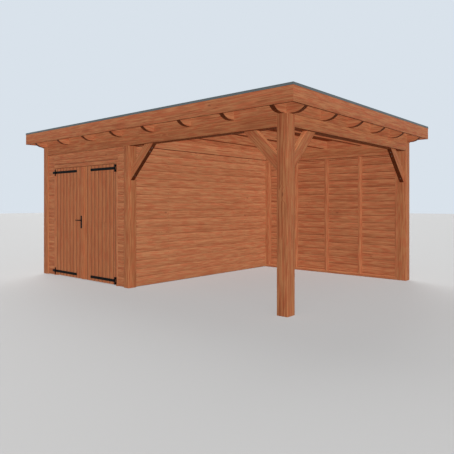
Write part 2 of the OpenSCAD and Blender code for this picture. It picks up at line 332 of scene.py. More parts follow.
def through(box: Box, section: Array, side: Way, up: Way, edge: float) -> Skin:
    """A section, given along side and up, extruded from end to end of a box."""
    return extruded(section, side, up, box.span(np.cross(side.vector, up.vector)), edge)


def bar(box: Box, along: Way, edge: float) -> Skin:
    """A rectangular timber with eased edges that fills a box.

    Args:
        box: Where it lies.
        along: Its length direction.
        edge: Radius of its edges.

    Returns:
        The closed skin.
    """
    side, up = CROSS_WAYS[along]
    section = rounded(rectangle(box.reach(side), box.reach(up)), ROUNDING * edge)
    return through(box, section, side, up, edge)


def mitred(profile: Array, face: Way, half_length: float) -> Skin:
    """One side of a frame with mitred corners.

    Profile point (b, z) runs from -s to s along face x up, where s is the half length at the outermost b
    and gets shorter by as much as b lies further in.

    Args:
        profile: Anticlockwise outline: distance along face, height.
        face: Direction in which the side faces.
        half_length: Half length at the outer face.

    Returns:
        The closed skin.
    """
    half = half_length - profile[:, 0].max() + profile[:, 0]
    along = np.cross(face.vector, Way.UP.vector)
    line = profile[:, :1] * face.vector + profile[:, 1:] * Way.UP.vector
    return tube(line + np.array([-1.0, 1.0])[:, None, None] * half[:, None] * along)


def turned(profile: Array, places: Array, axis: Array, sides: int) -> Skin:
    """A profile turned about an axis and repeated at many places.

    Point (i, j) lies at radius r_i and height h_i, at j steps round the axis.

    Args:
        profile: Rows of radius and height, with the height rising.
        places: Where the axis starts, one row per copy.
        axis: Direction of the axis.
        sides: Steps round the axis.

    Returns:
        One skin with all the copies.
    """
    axis = unit(np.asarray(axis, float))
    side = unit(np.cross(axis, ASKEW))
    up = np.cross(axis, side)
    angle = np.arange(sides)[:, None] * 2 * math.pi / sides
    ring = np.cos(angle) * side + np.sin(angle) * up
    one = tube(profile[:, :1, None] * ring + profile[:, 1:, None] * axis)
    count = len(places)
    step = len(one.points) * np.arange(count)[:, None]
    points = (np.asarray(places, float)[:, None] + one.points).reshape(-1, 3)
    return Skin(points, (one.corners + step).ravel(), np.tile(one.sizes, count))


@dataclass
class Sawmill:
    """Gives sawn pieces their place in a log and a tone of their own."""

    seed: int
    variety: float = 0.5
    off_centre: float = 0.6
    heart_depth: Pair = (0.012, 0.05)
    log_length: float = 40.0
    upright: float = 0.9

    def __post_init__(self) -> None:
        """Starts the seeded draws."""
        self.draw = np.random.default_rng(self.seed)

    def saw(self, skin: Skin, along: Array, heart: Heart) -> Skin:
        """Works out where each point of a piece lay in its log.

        The place is the distance along the grain and two distances across it, counted from the middle of
        the log, which lies inside a boxed piece and beneath the wide side of a flat one.

        Args:
            skin: The piece.
            along: Direction of its grain.
            heart: Where the middle of the log lies.

        Returns:
            The same skin with its place and tone set.
        """
        along = unit(np.asarray(along, float))
        helper = Way.RIGHT.vector if abs(along[2]) > self.upright else Way.UP.vector
        across = unit(np.cross(helper, along))
        basis = np.stack([along, across, np.cross(along, across)])
        middle = (skin.points.min(axis=0) + skin.points.max(axis=0)) / 2
        local = (skin.points - middle) @ basis.T
        half = np.abs(local[:, 1:]).max(axis=0)
        shift = half * self.draw.uniform(-self.off_centre, self.off_centre, 2)
        if heart is Heart.FLAT:
            thin = int(np.argmin(half))
            shift[thin] = self.draw.choice([-1, 1]) * (half[thin] + self.draw.uniform(*self.heart_depth))
        skin.place = local + np.array([self.draw.uniform(0, self.log_length), *shift])
        skin.tone = np.full(len(skin.points), np.clip(self.draw.normal(0, self.variety), -1, 1))
        return skin


def edge_shadow_painted(skin: Skin, edge: float, share: float, *ways: Way) -> Skin:
    """Marks a timber's edge for a shadow line painted along it.

    The painted shade is full on the outermost half radius of the edge and fades over the next radius.

    Args:
        skin: The timber.
        edge: Radius of its eased edges.
        share: Strength of the painted shade.
        ways: Sides that meet in the edge.

    Returns:
        The same skin with its painted shade set.
    """
    places = np.stack([skin.points @ way.vector for way in ways])
    inside = (places.max(axis=1, keepdims=True) - places).max(axis=0)
    # Painted shade, darkest at the edge itself.
    skin.stain = share * np.clip(ROUNDING - inside / edge, 0, 1)
    return skin


@dataclass(frozen=True)
class Boarding:
    """Overlapping boards with a V joint on both faces, laid edge to edge over a box."""

    pitch: float
    lap: float = 0.008
    gap: float = 0.0015
    chamfer: float = 0.005
    edge: float = 0.0006
    least: float = 0.025
    # Darkening of the joints' sides: dirt, and painted shade in the V grooves.
    stain: float = 0.5
    clean_rim: float = 0.2

    def courses(self, ends: Pair, start: float) -> Array:
        """Edges of the courses between two ends, without slivers.

        Args:
            ends: Lower and upper end of the field.
            start: Place of one edge, from which the others follow one pitch apart.

        Returns:
            The edges, both ends included.
        """
        count = math.ceil((ends[1] - start) / self.pitch)
        lines = start + self.pitch * np.arange(count + 1)
        inner = lines[(lines > ends[0] + self.least) & (lines < ends[1] - self.least)]
        return np.concatenate([[ends[0]], inner, [ends[1]]])

    def section(self, course: Pair, depth: Pair, first: bool, last: bool) -> Array:
        """Profile of one board.

        Its front half covers the course. Its back half is shifted up by the lap, so that it lies behind the
        next board, except at the first board's lower edge and the last board's upper edge.

        Args:
            course: Lower and upper edge of the course.
            depth: Back and front face.
            first: Whether the lower edge is plain.
            last: Whether the upper edge is plain.

        Returns:
            Anticlockwise outline: height, depth.
        """
        (low, high), (back, front) = course, depth
        half, bevel = (back + front) / 2, self.chamfer
        top = high if last else high - self.gap
        heel, tongue = low + self.lap, top + self.lap - self.gap
        rebate = [[low, half], [heel, half], [heel, back + bevel], [heel + bevel, back]]
        behind = half - self.gap / 3
        cover = [[tongue - bevel, back], [tongue, back + bevel], [tongue, behind], [top, behind]]
        lower = [[low, back]] if first else rebate
        upper = [[top, back]] if last else cover
        face = [[top, front - bevel], [top - bevel, front], [low + bevel, front], [low, front - bevel]]
        return np.array(lower + upper + face)

    def lay(self, box: Box, stack: Way, face: Way, edges: Array, mill: Sawmill) -> Skin:
        """Lays boards over a box.

        Args:
            box: What the boards fill.
            stack: Direction in which they follow each other.
            face: Direction of their front.
            edges: Edges of the courses along stack.
            mill: Where the boards are sawn.

        Returns:
            All the boards.
        """
        along = np.cross(stack.vector, face.vector)
        depth = box.reach(face)
        last = len(edges) - 2
        boards = []
        for i, course in enumerate(zip(edges[:-1], edges[1:])):
            section = rounded(self.section(course, depth, i == 0, i == last), ROUNDING * self.edge, 2)
            board = mill.saw(through(box, section, stack, face, self.edge), along, Heart.FLAT)
            boards.append(self.shade_and_dirt_marked(board, face, depth))
        return joined(boards)

    def shade_and_dirt_marked(self, board: Skin, face: Way, depth: Pair) -> Skin:
        """Marks the sides of a board's joints for dirt and painted shade, none on either face.

        Args:
            board: The board.
            face: Direction of its front.
            depth: Its back and front face.

        Returns:
            The same board with its dirt and painted shade set.
        """
        place = board.points @ face.vector
        inside = np.minimum(depth[1] - place, place - depth[0])
        # Dirt and painted shade on the joint sides, none on the faces.
        board.stain = self.stain * np.clip(inside / self.edge - self.clean_rim, 0, 1)
        return board


class Frame:
    """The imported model: boxes of its nodes and loose solids, and its joints."""

    STEPS_PER_METRE = 1e5

    def __init__(self) -> None:
        """Loads the model and keeps its box."""
        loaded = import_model()
        self.nodes: dict[str, bpy.types.Object] = loaded["nodes"]
        self.joints: dict[str, dict] = {joint["name"]: joint for joint in loaded["joints"]}
        self.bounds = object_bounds()

    def box(self, node: str) -> Box:
        """Box of a whole node."""
        low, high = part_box(node)
        return Box(np.array(low), np.array(high))

    def solids(self, node: str) -> list[Box]:
        """Boxes of a node's loose solids, from left to right, front to back and bottom to top.

        Points within the same hundredth of a millimetre are one. Each triangle then passes the lowest label
        of its points to the others, over and over, until every solid has one label.

        Args:
            node: Name of the node.

        Returns:
            One box per solid.
        """
        mesh = self.nodes[node].data
        points = np.empty(len(mesh.vertices) * 3, np.float32)
        mesh.vertices.foreach_get("co", points)
        points = points.reshape(-1, 3).astype(float)
        mesh.calc_loop_triangles()
        triangles = np.empty(len(mesh.loop_triangles) * 3, np.int32)
        mesh.loop_triangles.foreach_get("vertices", triangles)
        steps = np.round(points * self.STEPS_PER_METRE).astype(np.int64)
        _, same = np.unique(steps, axis=0, return_inverse=True)
        corners = same.ravel()[triangles].reshape(-1, 3)
        label, settled = np.arange(corners.max() + 1), False
        while not settled:
            lower = label.copy()
            np.minimum.at(lower, corners, label[corners].min(axis=1)[:, None])
            lower = lower[lower]
            settled = bool((lower == label).all())
            label = lower
        owner = label[same.ravel()]
        groups = [points[owner == one] for one in np.unique(owner)]
        boxes = [Box(group.min(axis=0), group.max(axis=0)) for group in groups]
        return sorted(boxes, key=lambda box: tuple(np.round(box.low, 4)))

    def axis(self, joint: str) -> Array:
        """A point on a joint's axis."""
        return np.array(self.joints[joint]["pos_m"], float)


class Wiring:
    """Adds nodes to a shader tree; an input takes a plain value or another node's socket."""

    def __init__(self, tree: bpy.types.NodeTree) -> None:
        """Keeps the tree."""
        self.tree = tree

    def node(self, kind: str, inputs: dict | None = None, **settings: object) -> bpy.types.Node:
        """Adds a node.

        Args:
            kind: Its type without the leading ShaderNode.
            inputs: Values or sockets by input name or number.
            settings: Its properties.

        Returns:
            The node.
        """
        made = self.tree.nodes.new("ShaderNode" + kind)
        for key, value in settings.items():
            setattr(made, key, value)
        for key, value in (inputs or {}).items():
            if isinstance(value, bpy.types.NodeSocket):
                self.tree.links.new(value, made.inputs[key])
            else:
                made.inputs[key].default_value = value
        return made

    def math(self, operation: str, *values: object) -> bpy.types.NodeSocket:
        """Result of a Math node."""
        return self.node("Math", dict(enumerate(values)), operation=operation).outputs[0]

    def stretched(self, vector: bpy.types.NodeSocket, scale: Triple) -> bpy.types.NodeSocket:
        """A vector with each coordinate scaled."""
        return self.node("VectorMath", {0: vector, 1: scale}, operation="MULTIPLY").outputs[0]

    def noise(self, vector: bpy.types.NodeSocket, scale: Triple, detail: float = 2.0) -> bpy.types.Node:
        """A Noise Texture on a stretched vector."""
        inputs = {"Vector": self.stretched(vector, scale), "Scale": 1.0, "Detail": detail}
        return self.node("TexNoise", inputs)

    def spread(self, value: bpy.types.NodeSocket, low: float, high: float) -> bpy.types.NodeSocket:
        """A value mapped smoothly from a range onto 0 to 1."""
        inputs = {"Value": value, "From Min": low, "From Max": high}
        return self.node("MapRange", inputs, interpolation_type="SMOOTHSTEP").outputs[0]

    def mixed(self, share: object, first: object, second: object, blend: str = "MIX") -> bpy.types.NodeSocket:
        """Result of a colour Mix node."""
        inputs = {0: share, 6: first, 7: second}
        return self.node("Mix", inputs, data_type="RGBA", blend_type=blend).outputs[2]


class GroupSockets:
    """Makes the sockets of a shader node group."""

    KINDS = {"value": "NodeSocketFloat", "colour": "NodeSocketColor", "vector": "NodeSocketVector"}

    def __init__(self, name: str) -> None:
        """Starts an empty group."""
        self.tree = bpy.data.node_groups.new(name, "ShaderNodeTree")
        self.wiring = Wiring(self.tree)

    def begin(self, **inputs: str) -> dict[str, bpy.types.NodeSocket]:
        """Makes the inputs.

        Args:
            inputs: Kind of each input by name.

        Returns:
            Their sockets inside the group by name.
        """
        for name, kind in inputs.items():
            self.tree.interface.new_socket(name, in_out="INPUT", socket_type=self.KINDS[kind])
        sockets = self.tree.nodes.new("NodeGroupInput").outputs
        return {name: sockets[name] for name in inputs}

    def end(self, **outputs: tuple[str, bpy.types.NodeSocket]) -> bpy.types.NodeTree:
        """Makes the outputs and links each to its socket.

        Args:
            outputs: Kind and source of each output by name.

        Returns:
            The finished tree.
        """
        for name, (kind, _) in outputs.items():
            self.tree.interface.new_socket(name, in_out="OUTPUT", socket_type=self.KINDS[kind])
        final = self.tree.nodes.new("NodeGroupOutput")
        for name, (_, socket) in outputs.items():
            self.tree.links.new(socket, final.inputs[name])
        return self.tree


@dataclass(frozen=True)
class GrainPattern:
    """Noise scales of the grain's features along and across the log, and their shares in its shade."""

    knots: Triple = (3.4, 8.0, 8.0)
    waves: Triple = (0.7, 5.0, 5.0)
    wave_depth: Triple = (0.0, 0.035, 0.035)
    streaks: Triple = (3.4, 72.0, 72.0)
    bands: Triple = (0.8, 13.0, 13.0)
    fibres: Triple = (22.0, 1100.0, 1100.0)
    reds: Triple = (5.0, 48.0, 48.0)
    knot_swirl: float = 2.5
    ring_share: float = 0.42
    streak_share: float = 0.4
    band_share: float = 0.1
    fibre_share: float = 0.1
    red_share: float = 0.75
    tone_share: float = 0.09
    knot_share: float = 0.55
    middle: float = 0.43
    shade: float = 0.45
    knot_colour: Colour = (0.10, 0.028, 0.012)
    # Deep brown for dirt and painted shade in board joints, and for painted shadow lines along edges.
    shade_and_dirt_colour: Colour = (0.060, 0.019, 0.008)


@cache
def timber_grain() -> bpy.types.NodeTree:
    """Node group of stained softwood, from a point's place in the log.

    Rings are the fraction of distance from the log's middle over the ring width, bent by slow noise and by
    knots. Streaks, broad bands and fibres are noise stretched along the grain.

    Returns:
        The group, with Color, Roughness and Height as outputs.
    """
    grain = GrainPattern()
    group = GroupSockets("TimberGrain")
    w = group.wiring
    values = dict.fromkeys(("Tone", "Stain", "RingWidth", "Contrast"), "value")
    colours = dict.fromkeys(("Pale", "Dark", "Red"), "colour")
    given = group.begin(Place="vector", **values, **colours)
    place = given["Place"]
    knots = w.node("TexVoronoi", {"Vector": w.stretched(place, grain.knots), "Scale": 1.0})
    rare = w.spread(w.node("SeparateColor", {0: knots.outputs["Color"]}).outputs[0], 0.80, 0.86)
    away = knots.outputs["Distance"]
    knot = w.math("MULTIPLY", rare, w.math("SUBTRACT", 1.0, w.spread(away, 0.05, 0.13)))
    swirl = w.math("MULTIPLY", rare, w.math("SUBTRACT", 1.0, w.spread(away, 0.05, 0.5)))
    slow = w.noise(place, grain.waves).outputs["Color"]
    bend = w.node("VectorMath", {0: slow, 1: (0.5, 0.5, 0.5)}, operation="SUBTRACT").outputs[0]
    bent = w.node("VectorMath", {0: bend, 1: grain.wave_depth, 2: place}, operation="MULTIPLY_ADD")
    flat = w.stretched(bent.outputs[0], (0.0, 1.0, 1.0))
    radius = w.node("VectorMath", {0: flat}, operation="LENGTH").outputs["Value"]
    swirled = w.math("MULTIPLY", swirl, grain.knot_swirl)
    years = w.math("ADD", w.math("DIVIDE", radius, given["RingWidth"]), swirled)
    ring = w.math("FRACT", years)
    fade = w.math("SUBTRACT", 1.0, w.spread(ring, 0.9, 1.0))
    late = w.math("MULTIPLY", w.spread(ring, 0.25, 0.86), fade)
    year = w.node("TexWhiteNoise", {"W": w.math("FLOOR", years)}, noise_dimensions="1D").outputs["Value"]
    rings = w.math("MULTIPLY", late, w.math("MULTIPLY_ADD", year, 0.7, 0.3))
    streak = w.spread(w.noise(place, grain.streaks, 3.0).outputs["Fac"], 0.35, 0.65)
    broad = w.spread(w.noise(place, grain.bands).outputs["Fac"], 0.3, 0.7)
    fibre = w.noise(place, grain.fibres, 1.0).outputs["Fac"]
    red = w.spread(w.noise(place, grain.reds).outputs["Fac"], 0.45, 0.62)
    fine = w.math("MULTIPLY_ADD", broad, grain.band_share, w.math("MULTIPLY", fibre, grain.fibre_share))
    shade = w.math("MULTIPLY_ADD", rings, grain.ring_share, w.math("MULTIPLY", streak, grain.streak_share))
    shade = w.math("SUBTRACT", w.math("ADD", shade, fine), grain.middle)
    shade = w.math("MULTIPLY_ADD", shade, given["Contrast"], grain.shade)
    shade = w.math("ADD", shade, w.math("MULTIPLY", given["Tone"], grain.tone_share))
    colour = w.mixed(w.math("MULTIPLY", red, grain.red_share), given["Pale"], given["Red"])
    colour = w.mixed(w.spread(shade, -0.1, 1.1), colour, given["Dark"])
    colour = w.mixed(w.math("MULTIPLY", knot, grain.knot_share), colour, (*grain.knot_colour, 1.0))
    # Mixes in the deep brown: dirt and painted shade in joints, painted shadow lines along the tie beam and
    # door head.
    colour = w.mixed(given["Stain"], colour, (*grain.shade_and_dirt_colour, 1.0))
    roughness = w.math("MULTIPLY_ADD", rings, -0.10, w.math("MULTIPLY_ADD", fibre, 0.12, 0.62))
    ridges = w.math("MULTIPLY_ADD", streak, 0.3, w.math("MULTIPLY", fibre, 0.5))
    height = w.math("MULTIPLY_ADD", rings, 0.5, ridges)
    return group.end(Color=("colour", colour), Roughness=("value", roughness), Height=("value", height))


@cache
def coat_mottle() -> bpy.types.NodeTree:
    """Node group of a coated or rolled surface: slow cloudy change, fine pebbles and a little dust.

    Returns:
        The group, with Color, Roughness and Height as outputs.
    """
    cloud_scale, patch_scale = (2.3, 2.3, 2.3), (17.0, 17.0, 17.0)
    group = GroupSockets("CoatMottle")
    w = group.wiring
    given = group.begin(Place="vector", Base="colour", Dust="colour", Roughness="value", Pebble="value")
    cloud = w.noise(given["Place"], cloud_scale, 4.0).outputs["Fac"]
    patch = w.noise(given["Place"], patch_scale, 3.0).outputs["Fac"]
    scaled = w.node("VectorMath", {0: given["Place"], "Scale": given["Pebble"]}, operation="SCALE").outputs[0]
    pebble = w.node("TexNoise", {"Vector": scaled, "Scale": 1.0, "Detail": 2.0}).outputs["Fac"]
    dusty = w.math("MULTIPLY", w.spread(cloud, 0.35, 0.75), w.spread(patch, 0.3, 0.8))
    colour = w.mixed(w.math("MULTIPLY", dusty, 0.5), given["Base"], given["Dust"])
    colour = w.mixed(w.math("MULTIPLY", pebble, 0.25), colour, given["Base"])
    rough = w.math("MULTIPLY_ADD", dusty, 0.18, w.math("MULTIPLY_ADD", pebble, 0.08, given["Roughness"]))
    return group.end(Color=("colour", colour), Roughness=("value", rough), Height=("value", pebble))


@dataclass(frozen=True)
class TimberFinish:
    """Stained softwood: linear colours, grain, slot and angle of smooth shading in degrees."""

    name: str
    pale: Colour = (0.452, 0.190, 0.083)
    dark: Colour = (0.232, 0.058, 0.021)
    red: Colour = (0.437, 0.115, 0.049)
    ring_width: float = 0.0065
    contrast: float = 1.0
    relief: float = 0.0005
    gloss: float = 0.2
    slot: str = "timber"
    smooth: float = 12.0

    def material(self) -> bpy.types.Material:
        """Makes the material.

        Returns:
            The material, with the timber group fed by the piece's own place, tone, and darkening for dirt and
            painted shade.
        """
        made, w, surface = new_material(self.name)
        inputs = {"RingWidth": self.ring_width, "Contrast": self.contrast}
        inputs |= {"Pale": (*self.pale, 1), "Dark": (*self.dark, 1), "Red": (*self.red, 1)}
        for mark, output in {"Place": "Vector", "Tone": "Fac", "Stain": "Fac"}.items():
            inputs[mark] = w.node("Attribute", attribute_name=mark.lower()).outputs[output]
        wood = w.node("Group", inputs, node_tree=timber_grain())
        finish_surface(w, surface, wood, self.relief, self.gloss)
        return made


@dataclass(frozen=True)
class CoatFinish:
    """Coated metal or roof sheet: linear colours, surface, slot and angle of smooth shading in degrees."""

    name: str
    base: Colour
    dust: Colour
    roughness: float
    pebble: float
    metallic: float = 0.0
    relief: float = 0.0003
    gloss: float = 0.35
    slot: str = "black_metal"
    smooth: float = 40.0

    def material(self) -> bpy.types.Material:
        """Makes the material.

        Returns:
            The material, with the coat group on object coordinates.
        """
        made, w, surface = new_material(self.name)
        inputs = {"Place": w.node("TexCoord").outputs["Object"]}
        inputs |= {"Base": (*self.base, 1), "Dust": (*self.dust, 1)}
        inputs |= {"Roughness": self.roughness, "Pebble": self.pebble}
        coat = w.node("Group", inputs, node_tree=coat_mottle())
        surface.inputs["Metallic"].default_value = self.metallic
        finish_surface(w, surface, coat, self.relief, self.gloss)
        return made


def new_material(name: str) -> tuple[bpy.types.Material, Wiring, bpy.types.Node]:
    """Makes a material with nodes.

    Args:
        name: Its name.

    Returns:
        The material, its wiring and its Principled shader.
    """
    made = bpy.data.materials.new(name)
    made.use_nodes = True
    return made, Wiring(made.node_tree), made.node_tree.nodes["Principled BSDF"]


def finish_surface(
    w: Wiring, surface: bpy.types.Node, group: bpy.types.Node, relief: float, gloss: float
) -> None:
    """Links a group's colour, roughness and height to the shader.

    Args:
        w: Wiring of the material.
        surface: Its Principled shader.
        group: The group node.
        relief: Height of the bump.
        gloss: Specular level of the shader.
    """
    bump = w.node("Bump", {"Strength": BUMP, "Distance": relief, "Height": group.outputs["Height"]})
    surface.inputs["Specular IOR Level"].default_value = gloss
    w.tree.links.new(group.outputs["Color"], surface.inputs["Base Color"])
    w.tree.links.new(group.outputs["Roughness"], surface.inputs["Roughness"])
    w.tree.links.new(bump.outputs["Normal"], surface.inputs["Normal"])


class Finish(Enum):
    """The finishes of the building."""

    FRAME = TimberFinish(
        "frame_timber", (0.412, 0.172, 0.071), (0.211, 0.052, 0.018), (0.398, 0.104, 0.042), ring_width=0.0075
    )
    ROOF = TimberFinish("roof_timber")
    BOARD = TimberFinish("outer_boards", ring_width=0.0055)
    # Paler, less saturated copy of the board colour for the partition and its tie beam: partly their own
    # paler tone, partly painted light that makes up for the shade in the bay.
    SHELTERED = TimberFinish(
        "sheltered_boards",
        (0.486, 0.220, 0.100),
        (0.252, 0.069, 0.026),
        (0.471, 0.134, 0.060),
        ring_width=0.0055,
        contrast=0.8,
    )
    DOOR = TimberFinish(
        "door_boards",
        (0.447, 0.180, 0.074),
        (0.232, 0.057, 0.019),
        (0.432, 0.112, 0.045),
        ring_width=0.0055,
        contrast=0.65,
    )
    BLACK = CoatFinish(
        "black_coat", (0.002, 0.002, 0.002), (0.006, 0.005, 0.005), roughness=0.45, pebble=900.0, gloss=0.06
    )
    TRIM = CoatFinish(
        "grey_trim",
        (0.085, 0.105, 0.110),
        (0.15, 0.165, 0.17),
        roughness=0.5,
        pebble=700.0,
        metallic=0.2,
        slot="edge_trim",
        smooth=12.0,
    )
    SHEET = CoatFinish(
        "sheet_cover",
        (0.030, 0.031, 0.033),
        (0.115, 0.110, 0.100),
        roughness=0.72,
        pebble=260.0,
        relief=0.0006,
        slot="roof_sheet",
    )
    SCREW = CoatFinish(
        "screw_heads", (0.11, 0.042, 0.020), (0.15, 0.066, 0.034), roughness=0.5, pebble=1500.0, metallic=0.2
    )
    BRIGHT = CoatFinish(
        "bright_screws", (0.42, 0.40, 0.37), (0.30, 0.27, 0.23), roughness=0.4, pebble=1500.0, metallic=0.6
    )

    @cache
    def material(self) -> bpy.types.Material:
        """The finish's material, made once."""
        return self.value.material()


def mesh_object(name: str, skin: Skin, smooth: float = 12.0) -> bpy.types.Object:
    """Puts a skin into a mesh object at the origin.

    Args:
        name: Name of the object.
        skin: The surface.
        smooth: Edges that turn by less than this angle, in degrees, are shaded smooth.

    Returns:
        The linked object.
    """
    mesh = bpy.data.meshes.new(name)
    mesh.vertices.add(len(skin.points))
    mesh.vertices.foreach_set("co", skin.points.astype(np.float32).ravel())
    mesh.loops.add(len(skin.corners))
    mesh.loops.foreach_set("vertex_index", skin.corners.astype(np.int32))
    mesh.polygons.add(len(skin.sizes))
    mesh.polygons.foreach_set("loop_start", (np.cumsum(skin.sizes) - skin.sizes).astype(np.int32))
    mesh.update(calc_edges=True)
    mesh.validate()
    place = mesh.attributes.new("place", "FLOAT_VECTOR", "POINT")
    place.data.foreach_set("vector", skin.place.astype(np.float32).ravel())
    for label, values in (("tone", skin.tone), ("stain", skin.stain)):
        layer = mesh.attributes.new(label, "FLOAT", "POINT")
        layer.data.foreach_set("value", values.astype(np.float32))
    mesh.shade_smooth()
    mesh.set_sharp_from_angle(angle=math.radians(smooth))
    made = bpy.data.objects.new(name, mesh)
    bpy.context.scene.collection.objects.link(made)
    return made


@dataclass
class SubAssembly:
    """What every sub-assembly shares: the frame, its sawmill and its pieces with their finishes."""

    frame: Frame
    seed: int = 1
    variety: float = 0.5
    pieces: list[tuple[bpy.types.Object, Finish]] = field(default_factory=list, init=False)

    def __post_init__(self) -> None:
        """Opens the sawmill."""
        self.mill = Sawmill(self.seed, self.variety)

    def add(
        self, name: str, skin: Skin, finish: Finish, nodes: Sequence[str] = (), body: str = "building"
    ) -> None:
        """Makes a piece and ties it to its body and the nodes that it stands for.

        Args:
            name: Name of the piece.
            skin: Its surface.
            finish: Its finish.
            nodes: Nodes that it stands for.
            body: Body that it moves with.
        """
        piece = mesh_object(name, skin, finish.value.smooth)
        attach(piece, body)
        if nodes:
            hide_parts(*nodes)
        self.pieces.append((piece, finish))

    def build(self) -> None:
        """Makes the meshes; each sub-assembly has its own."""
        raise NotImplementedError

    def dress(self) -> None:
        """Gives every piece its finish and reports it."""
        for piece, finish in self.pieces:
            piece.data.materials.append(finish.material())
            LOG.info("%s: %d faces, %s", piece.name, len(piece.data.polygons), finish.value.name)

    def timbers(
        self,
        node: str,
        edge: float,
        finish: Finish,
        heart: Heart = Heart.FLAT,
        body: str = "building",
        stain: float = 0.0,
        shade_and_dirt_marked: tuple[Way, ...] = (),
    ) -> None:
        """Dresses each solid of a node as a timber with eased edges, sawn along its longest side.

        Args:
            node: The node, which also gives the piece its name.
            edge: Radius of the edges.
            finish: Finish of the timbers.
            heart: Where the middle of the log lies in them.
            body: Body that they move with.
            stain: Strength of the shadow painted along one edge.
            shade_and_dirt_marked: Sides that meet in that painted-shadow edge, none for plain timbers.
        """
        sawn = []
        for box in self.frame.solids(node):
            along = box.longest()
            timber = self.mill.saw(bar(box, along, edge), along.vector, heart)
            sawn.append(edge_shadow_painted(timber, edge, stain, *shade_and_dirt_marked) if shade_and_dirt_marked else timber)
        self.add(node + "_timber", joined(sawn), finish, [node], body)


@dataclass
class PostsAndBeams(SubAssembly):
    """Posts, ring beam, tie beam and braces."""

    edge: float = 0.003
    tie_edge: float = 0.008
    # Strength of the shadow line painted along the tie beam's lower edge on the bay side.
    tie_stain: float = 0.95
    brace_w: float = 0.195
    brace_screw: Pair = (0.006, 0.0025)
    brace_screws_at: tuple[float, ...] = (0.12, 0.78, 0.88)
    screw_sides: int = 10

    def build(self) -> None:
        """Makes posts, beams and braces; a shadow line is painted along the tie beam's lower bay-side edge,
        over the partition's boards.
        """
        for depth in ("front", "back"):
            for member in ("left_post", "middle_post", "right_post", "beam"):
                self.timbers(f"{depth}_{member}", self.edge, Finish.FRAME, Heart.BOXED)
        for node in ("left_beam", "right_beam"):
            self.timbers(node, self.edge, Finish.FRAME, Heart.BOXED)
        self.timbers(
            "partition_beam",
            self.tie_edge,
            Finish.SHELTERED,
            Heart.BOXED,
            stain=self.tie_stain,
            shade_and_dirt_marked=(Way.DOWN, Way.RIGHT),
        )
        self.build_braces()

    def build_braces(self) -> None:
        """Makes the braces, each a plate at 45 degrees, with screws in its lower face."""
        plates, screws = [], []
        posts = ("front_middle_post", "front_right_post", "back_right_post")
        centres = [self.frame.box(post).middle() for post in posts]
        for box in self.frame.solids("braces"):
            size, middle = box.high - box.low, box.middle()
            flat = Way.RIGHT if size[0] > size[1] else Way.BACK
            post = min(centres, key=lambda centre: np.linalg.norm((centre - middle)[:2]))
            side = flat if flat.vector @ (middle - post) > 0 else flat.opposite
            plates.append(self.brace(box, side))
            screws.append(self.brace_screws(box, side))
        self.add("braces_timber", joined(plates), Finish.FRAME, ["braces"])
        self.add("brace_screws", joined(screws), Finish.BRIGHT)

    def brace(self, box: Box, side: Way) -> Skin:
        """One brace: outline from the post up to the beam, carried over its thickness.

        Args:
            box: Where it lies.
            side: Direction from its post.

        Returns:
            The sawn plate.
        """
        (start, end), (_, top) = box.reach(side), box.reach(Way.UP)
        far = end - start
        near = far - self.brace_w
        outline = np.array([[0, -far], [far, 0], [near, 0], [0, -near]]) + [start, top]
        plate = through(box, rounded(outline, ROUNDING * self.edge), side, Way.UP, self.edge)
        return self.mill.saw(plate, side.vector + Way.UP.vector, Heart.FLAT)

    def brace_screws(self, box: Box, side: Way) -> Skin:
        """Screws near both ends of a brace's lower face.

        Args:
            box: Where the brace lies.
            side: Direction from its post.

        Returns:
            The screw heads.
        """
        (start, end), (_, top) = box.reach(side), box.reach(Way.UP)
        far = end - start
        across = np.cross(side.vector, Way.UP.vector)
        foot = side.vector * start + Way.UP.vector * (top - far) + across * float(across @ box.middle())
        rise = (side.vector + Way.UP.vector) * far
        places = foot + np.array(self.brace_screws_at)[:, None] * rise
        out = side.vector - Way.UP.vector
        return turned(screw_profile(*self.brace_screw), places, out, self.screw_sides)


def screw_profile(radius: float, height: float) -> Array:
    """Half outline of a domed head with a recess: rows of radius and height."""
    shares = np.array([[1.0, -0.3], [1.0, 0.35], [0.78, 0.8], [0.42, 1.0], [0.30, 0.45]])
    return shares * [radius, height]


